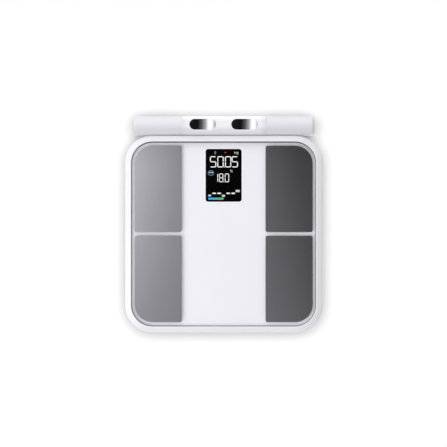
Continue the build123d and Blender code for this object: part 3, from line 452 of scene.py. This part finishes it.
print("white mouldings", [moulded(*row).name for row in WHITE_MOULDINGS])

# %% [markdown]
# ## The glass and the white behind it
# The platform is a sheet of clear glass printed white on its underside, so the white lies four millimetres
# down and the electrodes on top shade it softly. A full glass shader would keep lamps from reaching the
# print, so the glass is a clear film that lets light straight through, with a mirror mixed in by Fresnel.
# Only the outer side of a face mirrors: inside, the angle would be wrong without bending.

# %% Finish the glass
GLASS_INDEX = 1.16
GLASS_TINT = (0.997, 0.998, 0.998, 1.0)
GLASS_CLOUD = 0.02
GLASS_GLOSS = (0.015, 0.035)

glass, tree = empty_material("clear_glass")
film = add_node(tree, "ShaderNodeBsdfTransparent", {"Color": GLASS_TINT})
haze = between(tree, clouds(tree, GLASS_CLOUD), *GLASS_GLOSS)
mirror = add_node(tree, "ShaderNodeBsdfGlossy", Roughness=haze)
edge_on = add_node(tree, "ShaderNodeFresnel", {"IOR": GLASS_INDEX}).outputs[0]
inner = tree.nodes.new("ShaderNodeNewGeometry").outputs["Backfacing"]
share = maths(tree, "MULTIPLY", edge_on, rescaled(tree, inner, 1.0, 0.0))
show(tree, mixed(tree, share, film, mirror))
dress(glass, ["glass_platform"])

# %% [markdown]
# The print is an even, matt white. Round the glass runs a dark grey seal, whose dark tone is partly painted
# shade, standing in for the shade in the narrow joint, and pale foam tape holds the glass down. All three
# are soft or painted, so they take the same recipe as the mouldings, with more roughness.

# %% Finish the print, the seal and the tape
UNDER_GLASS = [
    ("back_print", ["glass_back_print"], (246, 245, 251), (244, 243, 250), (0.52, 0.6), 0.0004, 1e-6),
    # Partly painted shade: the seal's dark grey also stands in for the shade in the joint round the glass.
    ("seal_grey", ["glass_edge_seal"], (66, 66, 68), (58, 58, 60), (0.6, 0.75), 0.0007, 1e-5),
    ("foam_tape", ["glass_bonding_tape"], (226, 226, 224), (214, 214, 211), (0.8, 0.95), 0.0008, 6e-5),
]
back_print, seal_grey, foam_tape = [moulded(*row) for row in UNDER_GLASS]
print("under the glass", back_print.name, seal_grey.name, foam_tape.name)

# %% [markdown]
# ## Metal that touches the skin
# The foot electrodes are a thin satin metal film, the thumb dishes are polished plate and the finger plates
# are duller. Each is a full metal whose roughness and tone wander a little, with the faint grain of its
# plating, so the graded card shows in it as a smooth fade and not as a hard picture.

# %% Finish the electrodes
METAL_CLOUD = 0.03
HAZE_TO_GRAIN = 6
FOOT_FILMS = ["electrode_left_toe", "electrode_right_toe", "electrode_left_heel", "electrode_right_heel"]
THUMB_PLATES = ["thumb_electrode_left", "thumb_electrode_right"]
FINGER_PLATES = ["finger_electrode_left", "finger_electrode_right"]
# Name, pieces, two linear colours, roughness range, size and depth of the grain in metres.
ELECTRODES = [
    ("foot_electrode_film", FOOT_FILMS,
     (0.605, 0.597, 0.645), (0.585, 0.577, 0.625), (0.13, 0.16), 0.0005, 2e-7),
    ("thumb_electrode_plate", THUMB_PLATES,
     (0.86, 0.85, 0.90), (0.84, 0.83, 0.88), (0.05, 0.08), 0.0004, 1e-7),
    ("finger_electrode_plate", FINGER_PLATES,
     (0.46, 0.46, 0.48), (0.42, 0.42, 0.44), (0.2, 0.28), 0.0004, 6e-7),
]


def metal(name, pieces, light, shade, gloss, grain, depth, stretch=None):
    """Bare or plated metal with two near colours and a grain, which may be drawn out one way."""
    material, tree, skin = new_finish(name)
    skin.inputs["Metallic"].default_value = 1.0
    tree.links.new(drifting(tree, (*light, 1.0), (*shade, 1.0), METAL_CLOUD), skin.inputs["Base Color"])
    haze = clouds(tree, grain * HAZE_TO_GRAIN, detail=3.0, stretch=stretch)
    tree.links.new(between(tree, haze, *gloss), skin.inputs["Roughness"])
    dimple(tree, skin, clouds(tree, grain, stretch=stretch), depth)
    return dress(material, pieces)


print("electrode finishes", [metal(*row).name for row in ELECTRODES])

# %% [markdown]
# ## Inside and underneath
# The feet, cells, board, reel and screws are seldom seen, but the battery door opens and the underside can
# be turned up, so each gets the finish of its real stuff: matt rubber, stamped and plated steel, green
# solder mask, resin, amber film, and the blued strip of the reel's spring. Rolled and drawn metal shows its
# grain one way, so the noise of two of the metals is stretched.

# %% List the hidden pieces by what they are made of
CORNERS = ("front_left", "front_right", "rear_left", "rear_right")
FOOT_PADS = [f"foot_pad_{corner}" for corner in CORNERS]
FOOT_CUPS = [f"foot_cup_{corner}" for corner in CORNERS]
LOAD_CELLS = [f"load_cell_{corner}" for corner in CORNERS]
BOARDS = ["main_board", "handle_board"]
CHIPS = ["board_components", "unit_switch"]
REEL = ["reel_drum", "reel_bridge"]
BUSHES = ["cord_outlet_bush", "cord_inlet_bush"]
PLATED = ["battery_contacts_front", "battery_contacts_rear", "dock_magnets", "handle_magnets"]
TURNED_STEEL = ["reel_axle", "inner_screws"]
SPINE = ["handle_spine"]
print("pads, cups and load cells", len(FOOT_PADS + FOOT_CUPS + LOAD_CELLS))

# %% Finish the hidden pieces
# How many times finer the grain is along X, Y and Z.
ROLLED, DRAWN = (1, 8, 8), (0.1, 1, 1)
# The columns of both tables are those of the mouldings and the electrodes.
HIDDEN_PLASTICS = [
    ("pad_rubber", FOOT_PADS, (62, 62, 63), (54, 54, 55), (0.75, 0.9), 0.0007, 2e-5),
    ("cup_grey", FOOT_CUPS, (226, 226, 228), (220, 220, 223), (0.5, 0.6), 0.0006, 8e-6),
    ("button_grey", ["unit_button"], (176, 178, 181), (168, 170, 174), (0.45, 0.55), 0.0005, 6e-6),
    ("board_mask", BOARDS, (22, 92, 58), (16, 78, 48), (0.3, 0.42), 0.0009, 3e-6),
    ("chip_resin", CHIPS, (38, 38, 40), (30, 30, 31), (0.5, 0.65), 0.0003, 4e-6),
    ("lead_sleeve", ["load_cell_leads"], (58, 58, 62), (48, 48, 51), (0.5, 0.62), 0.0008, 5e-6),
    ("amber_film", ["display_flex"], (196, 122, 32), (180, 106, 24), (0.22, 0.32), 0.0012, 2e-6),
    ("reel_acetal", REEL, (230, 229, 222), (224, 223, 215), (0.36, 0.46), 0.0007, 4e-6),
    ("bush_grey", BUSHES, (150, 150, 153), (140, 140, 144), (0.3, 0.4), 0.0005, 3e-6),
]
HIDDEN_METALS = [
    ("stamped_steel", LOAD_CELLS, (0.56, 0.55, 0.53), (0.50, 0.49, 0.48), (0.32, 0.45), 0.0004, 2e-6, ROLLED),
    ("nickel_plate", PLATED, (0.72, 0.68, 0.61), (0.68, 0.64, 0.57), (0.16, 0.26), 0.0004, 8e-7),
    ("zinc_steel", TURNED_STEEL, (0.62, 0.62, 0.63), (0.55, 0.55, 0.57), (0.25, 0.38), 0.0003, 1e-6),
    ("blued_strip", ["reel_spring"], (0.16, 0.20, 0.28), (0.12, 0.14, 0.20), (0.25, 0.36), 0.0004, 8e-7),
    ("drawn_aluminium", SPINE, (0.78, 0.78, 0.79), (0.74, 0.74, 0.75), (0.3, 0.42), 0.0003, 1e-6, DRAWN),
]
print("hidden plastics", [moulded(*row).name for row in HIDDEN_PLASTICS])
hidden_metals = {row[0]: metal(*row) for row in HIDDEN_METALS}
print("hidden metals", list(hidden_metals))

# %% [markdown]
# ## The cells
# A dry cell is a steel can in a plain printed wrap, with bare bright ends. A wrap of its own mesh would hide
# the can, so one material does both: where a point lies along the cell decides between wrap and bare metal.

# %% Wrap the cells
BARE_END = 0.0012
BARE_METAL = (0.66, 0.66, 0.66, 1.0)
WRAP_TONE = tone(52, 60, 72)
WRAP_HAZE = 0.006
WRAP_GLOSS = (0.28, 0.4)
WRAP_GRAIN, WRAP_DEPTH = 0.0006, 1e-6

low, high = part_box("battery_1")
wrap, tree, skin = new_finish("cell_wrap")
place = tree.nodes.new("ShaderNodeTexCoord").outputs["Object"]
stripe = add_node(tree, "ShaderNodeMath", {"operation": "COMPARE"})
tree.links.new(add_node(tree, "ShaderNodeSeparateXYZ", Vector=place).outputs["Y"], stripe.inputs[0])
stripe.inputs[1].default_value = (low.y + high.y) / 2
stripe.inputs[2].default_value = (high.y - low.y) / 2 - BARE_END
wrapped = stripe.outputs[0]
tree.links.new(two_tones(tree, wrapped, BARE_METAL, WRAP_TONE), skin.inputs["Base Color"])
tree.links.new(rescaled(tree, wrapped, 1.0, 0.0), skin.inputs["Metallic"])
tree.links.new(between(tree, clouds(tree, WRAP_HAZE), *WRAP_GLOSS), skin.inputs["Roughness"])
dimple(tree, skin, clouds(tree, WRAP_GRAIN), WRAP_DEPTH)
dress(wrap, ["battery_1", "battery_2", "battery_3", "battery_4"])
print("cells from", round(low.y, 4), "to", round(high.y, 4))

# %% [markdown]
# ## The display
# Behind the glass lies a black panel, dark but for its lit signs: a weight in large seven-part figures, a
# smaller figure under it, a few signs, a row of blocks and a coloured bar. Each lit sign is a thin raised
# plate on the panel, so it is real geometry and stays sharp from any side. The panel itself has no gloss,
# because the glass over it already mirrors the room.

# %% Finish the panel
PANEL_LIGHT, PANEL_SHADE = (0.0016, 0.0015, 0.0014, 1.0), (0.0012, 0.0011, 0.0010, 1.0)
PANEL_CLOUD = 0.01
PANEL_HAZE = 0.004
PANEL_GLOSS = (0.5, 0.65)
PANEL_GRAIN, PANEL_DEPTH = 0.0005, 1e-6

panel, tree, skin = new_finish("display_panel")
tree.links.new(drifting(tree, PANEL_LIGHT, PANEL_SHADE, PANEL_CLOUD), skin.inputs["Base Color"])
tree.links.new(between(tree, clouds(tree, PANEL_HAZE), *PANEL_GLOSS), skin.inputs["Roughness"])
skin.inputs["Specular IOR Level"].default_value = 0.0
dimple(tree, skin, clouds(tree, PANEL_GRAIN), PANEL_DEPTH)
dress(panel, ["display_module"])

# %% [markdown]
# A lit sign is a lamp behind a diffuser, so its light is a little uneven. An emission colour that drifts
# between two near tones shows that. The strength stays at one, at which a colour renders as it is written.

# %% Mix the colours of the lit signs
SIGN_SKIN = (0.02, 0.02, 0.02, 1.0)
SIGN_ROUGHNESS = 0.6
SIGN_STRENGTH = 1.0
SIGN_CLOUD = 0.0025
SIGN_TONES = {
    "white_light": ((252, 252, 252), (238, 238, 240)),
    "soft_light": ((214, 214, 212), (196, 196, 194)),
    "dim_light": ((170, 170, 168), (150, 150, 148)),
    "pale_light": ((176, 200, 206), (158, 184, 190)),
    "red_light": ((150, 20, 27), (122, 14, 20)),
    "teal_light": ((104, 146, 160), (84, 124, 138)),
    "blue_light": ((44, 182, 232), (30, 164, 220)),
    "green_light": ((112, 178, 142), (92, 160, 122)),
}


def lit_sign(name, bright, dim):
    """A dark skin with uneven light coming through it."""
    material, tree, skin = new_finish(name)
    skin.inputs["Base Color"].default_value = SIGN_SKIN
    skin.inputs["Roughness"].default_value = SIGN_ROUGHNESS
    skin.inputs["Emission Strength"].default_value = SIGN_STRENGTH
    tree.links.new(drifting(tree, bright, dim, SIGN_CLOUD), skin.inputs["Emission Color"])
    return material


lights = {name: lit_sign(name, tone(*bright), tone(*dim)) for name, (bright, dim) in SIGN_TONES.items()}
print("colours of light", list(lights))

# %% [markdown]
# Every sign is drawn as flat outlines in millimetres from the panel's middle, and one helper raises a list
# of outlines into closed plates. Outlines are quicker to read and to change than hand-placed boxes.

# %% Raise flat outlines into plates
SIGN_HEIGHT = 0.00008
panel_low, panel_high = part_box("display_module")
PANEL_MIDDLE = ((panel_low.x + panel_high.x) / 2, (panel_low.y + panel_high.y) / 2)
PANEL_TOP = panel_high.z


def raise_plates(name, outlines, material, middle=PANEL_MIDDLE, ground=PANEL_TOP):
    """Closed plates on the display or on another ground, one for each outline of points in millimetres.
    Outlines that share a side grow together, with no wall between them."""
    shape = bmesh.new()
    corners = {}

    def corner(point, height):
        if (point, height) not in corners:
            x, y = (start + offset / 1000 for start, offset in zip(middle, point))
            corners[point, height] = shape.verts.new((x, y, ground + height))
        return corners[point, height]

    sides = [side for outline in outlines for side in zip(outline, outline[1:] + outline[:1])]
    for outline in outlines:
        shape.faces.new([corner(point, 0.0) for point in reversed(outline)])
        shape.faces.new([corner(point, SIGN_HEIGHT) for point in outline])
    for first, last in sides:
        if (last, first) not in sides:
            wall = [(first, 0.0), (last, 0.0), (last, SIGN_HEIGHT), (first, SIGN_HEIGHT)]
            shape.faces.new([corner(point, height) for point, height in wall])
    bmesh.ops.recalc_face_normals(shape, faces=shape.faces)
    mesh = bpy.data.meshes.new(name)
    shape.to_mesh(mesh)
    shape.free()
    mesh.materials.append(material)
    piece = bpy.data.objects.new(name, mesh)
    scene.collection.objects.link(piece)
    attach(piece, "platform")
    return piece


print("signs stand", round(1000 * SIGN_HEIGHT, 3), "mm high")

# %% [markdown]
# A seven-part figure is seven strokes named a to g, from the top clockwise and then the middle. Writing
# down which strokes each numeral lights is all that is needed to spell any reading. The strokes are
# pointed, so that neighbours meet along a slanted gap, as the real ones do.

# %% Draw bars and strokes
def bar(x0, y0, x1, y1):
    """A plain rectangle."""
    return [(x0, y0), (x1, y0), (x1, y1), (x0, y1)]


def stroke(start, end, width):
    """A straight stroke with pointed ends, as in a seven-part figure."""
    a, b = Vector(start), Vector(end)
    way = (b - a).normalized()
    side = Vector((-way.y, way.x)) * width / 2
    tip = way * width / 2
    return [tuple(p) for p in (a, a + tip + side, b - tip + side, b, b - tip - side, a + tip - side)]


print("a stroke has", len(stroke((0, 0), (1, 0), width=0.1)), "points")

# %% Spell a numeral
LIT_STROKES = {"0": "abcdef", "1": "bc", "5": "acdfg", "8": "abcdefg"}
GAP_TO_STROKE = 0.12


def figure(numeral, x, y, wide, high, width):
    """The lit strokes of one numeral whose lower left corner is at x, y."""
    gap = width * GAP_TO_STROKE
    left, right = x + width / 2, x + wide - width / 2
    bottom, top = y + width / 2, y + high - width / 2
    middle = (bottom + top) / 2
    ends = {
        "a": ((left + gap, top), (right - gap, top)),
        "b": ((right, top - gap), (right, middle + gap)),
        "c": ((right, middle - gap), (right, bottom + gap)),
        "d": ((left + gap, bottom), (right - gap, bottom)),
        "e": ((left, middle - gap), (left, bottom + gap)),
        "f": ((left, top - gap), (left, middle + gap)),
        "g": ((left + gap, middle), (right - gap, middle)),
    }
    return [stroke(*ends[name], width) for name in LIT_STROKES[numeral]]


print("numerals", list(LIT_STROKES))

# %% Light the two readings
POINT_TO_STROKE = 0.8


def reading(name, numerals, starts, y, wide, high, width, point_x):
    """A row of figures with a decimal point."""
    outlines = [part for n, x in zip(numerals, starts) for part in figure(n, x, y, wide, high, width)]
    point = width * POINT_TO_STROKE
    outlines.append(bar(point_x, y, point_x + point, y + point))
    return raise_plates(name, outlines, lights["white_light"])


weight = reading(
    "weight_figures", "5005", starts=(-20.8, -9.6, 2.0, 12.2), y=12.1,
    wide=9.6, high=16.9, width=1.4, point_x=0.6,
)
percent = reading(
    "percent_figures", "180", starts=(-14.9, -7.0, 1.8), y=-10.4,
    wide=6.5, high=13.2, width=1.1, point_x=0.2,
)
print("readings", weight.name, len(weight.data.polygons), percent.name, len(percent.data.polygons))

# %% [markdown]
# The small signs are a phone outline, a heart, the unit, a ring with a line of marks and a percent sign.
# Rings need a hole, so they are laid as a chain of short plates round a closed path. Plates that share a
# side grow together, so the ring is one closed shape with nothing left over inside.

# %% Draw rings, hearts and dots
def ring(middle, half_wide, half_high, width, steps, power=2.0):
    """Plates round a closed path: an ellipse, or nearer to a rectangle as the power rises."""
    def point(k, grow):
        turn = 2 * math.pi * (k % steps) / steps
        c, s = math.cos(turn), math.sin(turn)
        x = math.copysign(abs(c) ** (2 / power), c) * (half_wide + grow)
        y = math.copysign(abs(s) ** (2 / power), s) * (half_high + grow)
        return (middle[0] + x, middle[1] + y)

    return [
        [point(k, -width / 2), point(k + 1, -width / 2), point(k + 1, width / 2), point(k, width / 2)]
        for k in range(steps)
    ]


def heart(middle, half, steps=28):
    """A heart's outline, from the well-known curve that reaches 16 units to either side."""
    outline = []
    for k in range(steps):
        t = 2 * math.pi * k / steps
        x = 16 * math.sin(t) ** 3
        y = 13 * math.cos(t) - 5 * math.cos(2 * t) - 2 * math.cos(3 * t) - math.cos(4 * t)
        outline.append((middle[0] + x * half / 16, middle[1] + y * half / 16))
    return [outline]


def disc(middle, radius, steps=14):
    """A round dot."""
    turns = [2 * math.pi * k / steps for k in range(steps)]
    return [(middle[0] + radius * math.cos(turn), middle[1] + radius * math.sin(turn)) for turn in turns]


print("a heart has", len(heart((0, 0), half=1)[0]), "points")

# %% Light the small signs
PHONE = ring((-12.8, 34.3), half_wide=0.9, half_high=1.8, width=0.5, steps=16, power=6.0)
PHONE_KEY = bar(-13.1, 33.1, -12.5, 33.5)
UNIT_STEM = bar(16.2, 32.9, 16.8, 36.1)
UNIT_ARMS = [
    stroke((16.85, 34.0), (18.5, 35.5), width=0.6),
    stroke((17.42, 33.98), (18.7, 32.9), width=0.6),
]
UNIT_BOWL = ring((20.4, 34.4), half_wide=0.9, half_high=0.9, width=0.6, steps=14)
UNIT_TAIL = [(19.7, 31.9), (22.2, 31.9), (22.2, 35.5), (21.65, 35.5), (21.65, 32.4), (19.7, 32.4)]
PERCENT_DOTS = [disc((10.7, 7.8), radius=0.75), disc((12.9, 5.4), radius=0.75)]
PERCENT_SLASH = stroke((10.4, 4.8), (13.2, 8.4), width=0.55)
MODE_RING = ring((-19.2, 3.6), half_wide=4.2, half_high=3.6, width=0.9, steps=36)
MODE_MARKS = [bar(x, 3.4, x + 1.6, 5.2) for x in (-22.0, -19.9, -17.8)]

small_signs = [
    raise_plates("phone_sign", [*PHONE, PHONE_KEY], lights["dim_light"]),
    raise_plates("heart_sign", heart((2.6, 34.5), half=1.6), lights["red_light"]),
    raise_plates("unit_sign", [UNIT_STEM, *UNIT_ARMS, *UNIT_BOWL, UNIT_TAIL], lights["soft_light"]),
    raise_plates("percent_sign", [*PERCENT_DOTS, PERCENT_SLASH], lights["soft_light"]),
    raise_plates("mode_ring", MODE_RING, lights["teal_light"]),
    raise_plates("mode_marks", MODE_MARKS, lights["pale_light"]),
]
print("small signs", [piece.name for piece in small_signs])

# %% [markdown]
# Low on the panel a row of blocks steps up and down like a small chart, over a bar in blue and green. They
# are plain rectangles, each colour a piece of its own.

# %% Light the chart and the coloured bar
CHART_STARTS = (-16.95, -9.3, 4.4, 12.05)
CHART_BLOCK = 5.2
CHART_FOOT, CHART_TOP = -28.3, -26.3
CHART_ENDS = [
    bar(-23.2, -31.9, -19.2, -29.4),
    bar(-2.6, -32.6, 2.0, -29.6),
    bar(18.2, -25.4, 24.4, -22.1),
]
BLUE_LEFT, GREEN_LEFT = -23.1, -11.5
BAR_BLOCKS = 4
BAR_PITCH, BAR_BLOCK = 2.9, 2.7
BAR_FOOT, BAR_TOP = -37.0, -33.9


def coloured_bar(name, left, light):
    """A row of blocks in one colour."""
    starts = [left + BAR_PITCH * k for k in range(BAR_BLOCKS)]
    return raise_plates(name, [bar(x, BAR_FOOT, x + BAR_BLOCK, BAR_TOP) for x in starts], light)


chart_blocks = [bar(x, CHART_FOOT, x + CHART_BLOCK, CHART_TOP) for x in CHART_STARTS]
chart = raise_plates("chart_blocks", chart_blocks, lights["white_light"])
chart_ends = raise_plates("chart_ends", CHART_ENDS, lights["soft_light"])
blue_bar = coloured_bar("blue_bar", BLUE_LEFT, lights["blue_light"])
green_bar = coloured_bar("green_bar", GREEN_LEFT, lights["green_light"])
print("chart faces", len(chart.data.polygons) + len(chart_ends.data.polygons))
print("bars", blue_bar.name, green_bar.name)

# %% [markdown]
# ## A strip of painted shadow over the rear joint
# The dark line round the glass is twice as wide along the rear edge as anywhere else, and the extra width
# there is shade. A thin strip in the seal's dark grey lies over the joint there as painted shadow. Its outer
# side follows the frame round both rear corners, and its inner side is the same curve moved forward, so
# that it thins out to nothing along the sides.

# %% Lay the strip of painted shadow
SHADOW_STRIP_WIDTH = 1.62
SHADOW_STRIP_CORNER = 32.4
SHADOW_STRIP_STEPS = 14
SHADOW_STRIP_CLEARANCE = 0.00001

seal_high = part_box("glass_edge_seal")[1] * 1000
shadow_strip_outer = []
for side, start in ((1, 0.0), (-1, math.pi / 2)):
    for k in range(SHADOW_STRIP_STEPS + 1):
        turn = start + math.pi / 2 * k / SHADOW_STRIP_STEPS
        shadow_strip_outer.append((
            side * (seal_high.x - SHADOW_STRIP_CORNER) + SHADOW_STRIP_CORNER * math.cos(turn),
            seal_high.y - SHADOW_STRIP_CORNER + SHADOW_STRIP_CORNER * math.sin(turn),
        ))
shadow_strip_inner = [(x, y - SHADOW_STRIP_WIDTH) for x, y in reversed(shadow_strip_outer)]
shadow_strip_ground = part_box("glass_platform")[1].z + SHADOW_STRIP_CLEARANCE
# Painted shadow: a thin dark strip in the seal's grey over the rear joint of the glass.
shadow_strip = raise_plates(
    "painted_shadow_strip", [shadow_strip_outer + shadow_strip_inner], seal_grey,
    middle=(0, 0), ground=shadow_strip_ground,
)
print("shadow_strip", len(shadow_strip.data.vertices), "points at", round(1000 * shadow_strip_ground, 2), "mm")

# %% [markdown]
# ## The screws
# Plain pins stand for the screws in the CAD. A real one has a domed head with a cross recess and a thread,
# and the heads show on the underside of the tray and the handle. One screw is turned as a profile about its
# axis, the recess is cut with a Boolean, and copies go wherever the CAD has a pin, found from the pins' own
# meshes.

# %% Find the pins
WELD = 1e-6


def pins_of(node):
    """The box of each separate pin in a CAD node."""
    shape = bmesh.new()
    shape.from_mesh(nodes[node].data)
    bmesh.ops.remove_doubles(shape, verts=shape.verts, dist=WELD)
    left, boxes = set(shape.verts), []
    while left:
        start = left.pop()
        group, edge = [start], [start]
        while edge:
            for link in edge.pop().link_edges:
                for vert in link.verts:
                    if vert in left:
                        left.discard(vert)
                        group.append(vert)
                        edge.append(vert)
        boxes.append([[f(v.co[axis] for v in group) for axis in range(3)] for f in (min, max)])
    shape.free()
    return sorted(boxes)


print("pins", {node: len(pins_of(node)) for node in ("body_screws", "handle_screws")})

# %% [markdown]
# The blank is a profile turned about an axis, as on a lathe: a crowned head, then a saw-tooth for the
# thread, then the tip. A true helix would look the same at this size and cost far more faces.

# %% Draw a screw's profile
HEAD_RADIUS, HEAD_HEIGHT = 0.0028, 0.0016
# Share of the head's radius, and height from its face in metres.
HEAD_CROWN = [(0.0, 0.0), (0.72, 0.00006), (0.93, 0.0003), (1.0, 0.0006)]
SHANK_RADIUS, ROOT_RADIUS = 0.0015, 0.00115
THREAD_PITCH = 0.0009
NECK = 0.0003
TIP_LENGTH, TIP_RADIUS, TIP_ROUND = 0.0012, 0.0004, 0.0001


def screw_profile(length):
    """Radius and height from the middle of the head's face to the tip, with a saw-tooth thread."""
    profile = [(HEAD_RADIUS * share, height) for share, height in HEAD_CROWN]
    profile += [(HEAD_RADIUS, HEAD_HEIGHT), (ROOT_RADIUS, HEAD_HEIGHT)]
    height = HEAD_HEIGHT + NECK
    while height + THREAD_PITCH < length - TIP_LENGTH:
        profile += [(ROOT_RADIUS, height), (SHANK_RADIUS, height + THREAD_PITCH / 2)]
        height += THREAD_PITCH
    return profile + [(ROOT_RADIUS, height), (TIP_RADIUS, length - TIP_ROUND), (0.0, length)]


print("a 10 mm screw has", len(screw_profile(0.010)), "points in its profile")

# %% Turn the profile about its axis
TURN_STEPS = 28


def turned(profile):
    """A closed solid of revolution about Z."""
    shape = bmesh.new()
    turns = [2 * math.pi * k / TURN_STEPS for k in range(TURN_STEPS)]
    circles = []
    for radius, height in profile:
        around = turns if radius else turns[:1]
        spots = [(radius * math.cos(turn), radius * math.sin(turn), height) for turn in around]
        circles.append([shape.verts.new(spot) for spot in spots])
    for lower, upper in zip(circles, circles[1:]):
        for k in range(TURN_STEPS):
            places = [(lower, k), (lower, k + 1), (upper, k + 1), (upper, k)]
            corners = [circle[step % len(circle)] for circle, step in places]
            shape.faces.new(list(dict.fromkeys(corners)))
    bmesh.ops.recalc_face_normals(shape, faces=shape.faces)
    mesh = bpy.data.meshes.new("turned")
    shape.to_mesh(mesh)
    shape.free()
    return mesh


print("each turn has", TURN_STEPS, "steps")

# %% [markdown]
# The recess is a cross that narrows as it goes in, so a driver centres itself. Two tapered bars make the
# cutter, and an exact Boolean takes it out of the blank and leaves a closed mesh.

# %% Cut the cross recess
RECESS_WIDTH, RECESS_SPAN, RECESS_DEPTH = 0.0008, 0.0034, 0.0010
RECESS_TAPER = 0.6


def cross_cutter():
    """A tapered cross that reaches into the head from below its face."""
    shape = bmesh.new()
    arm = Matrix.Diagonal((RECESS_SPAN, RECESS_WIDTH, 2 * RECESS_DEPTH, 1))
    for turn in (0, math.pi / 2):
        made = bmesh.ops.create_cube(shape, size=1.0, matrix=Matrix.Rotation(turn, 4, "Z") @ arm)
        for vert in made["verts"]:
            if vert.co.z > 0:
                vert.co.x *= RECESS_TAPER
                vert.co.y *= RECESS_TAPER
    mesh = bpy.data.meshes.new("cross")
    shape.to_mesh(mesh)
    shape.free()
    return mesh


def cross_head_screw(length):
    """One screw with its head's face at the origin, pointing up."""
    blank = bpy.data.objects.new("screw_blank", turned(screw_profile(length)))
    cutter = bpy.data.objects.new("cross_cutter", cross_cutter())
    for thing in (blank, cutter):
        scene.collection.objects.link(thing)
    cut = blank.modifiers.new("recess", "BOOLEAN")
    cut.operation, cut.object, cut.solver, cut.use_self = "DIFFERENCE", cutter, "EXACT", True
    depsgraph = bpy.context.evaluated_depsgraph_get()
    mesh = bpy.data.meshes.new_from_object(blank.evaluated_get(depsgraph))
    for thing in (blank, cutter):
        bpy.data.objects.remove(thing)
    return mesh


print("recess", round(1000 * RECESS_SPAN, 2), "mm across and", round(1000 * RECESS_DEPTH, 2), "mm deep")

# %% [markdown]
# Screws are driven by hand, so no two crosses point the same way: each copy is turned a little further than
# the one before it.

# %% Drive the screws
TURN_PER_SCREW = 0.7


def drive_screws(name, node, body):
    """Real screws in place of one node's pins."""
    boxes = pins_of(node)
    screw = cross_head_screw(boxes[0][1][2] - boxes[0][0][2])
    shape = bmesh.new()
    for count, (low, high) in enumerate(boxes):
        copy = screw.copy()
        place = Matrix.Translation(((low[0] + high[0]) / 2, (low[1] + high[1]) / 2, low[2]))
        copy.transform(place @ Matrix.Rotation(TURN_PER_SCREW * count, 4, "Z"))
        shape.from_mesh(copy)
    mesh = bpy.data.meshes.new(name)
    shape.to_mesh(mesh)
    shape.free()
    mesh.materials.append(hidden_metals["zinc_steel"])
    piece = bpy.data.objects.new(name, mesh)
    scene.collection.objects.link(piece)
    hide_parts(node)
    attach(piece, body)
    print(name, len(boxes), "screws,", len(mesh.polygons), "faces")


drive_screws("tray_screws", "body_screws", "platform")
drive_screws("handle_cross_screws", "handle_screws", "handle")
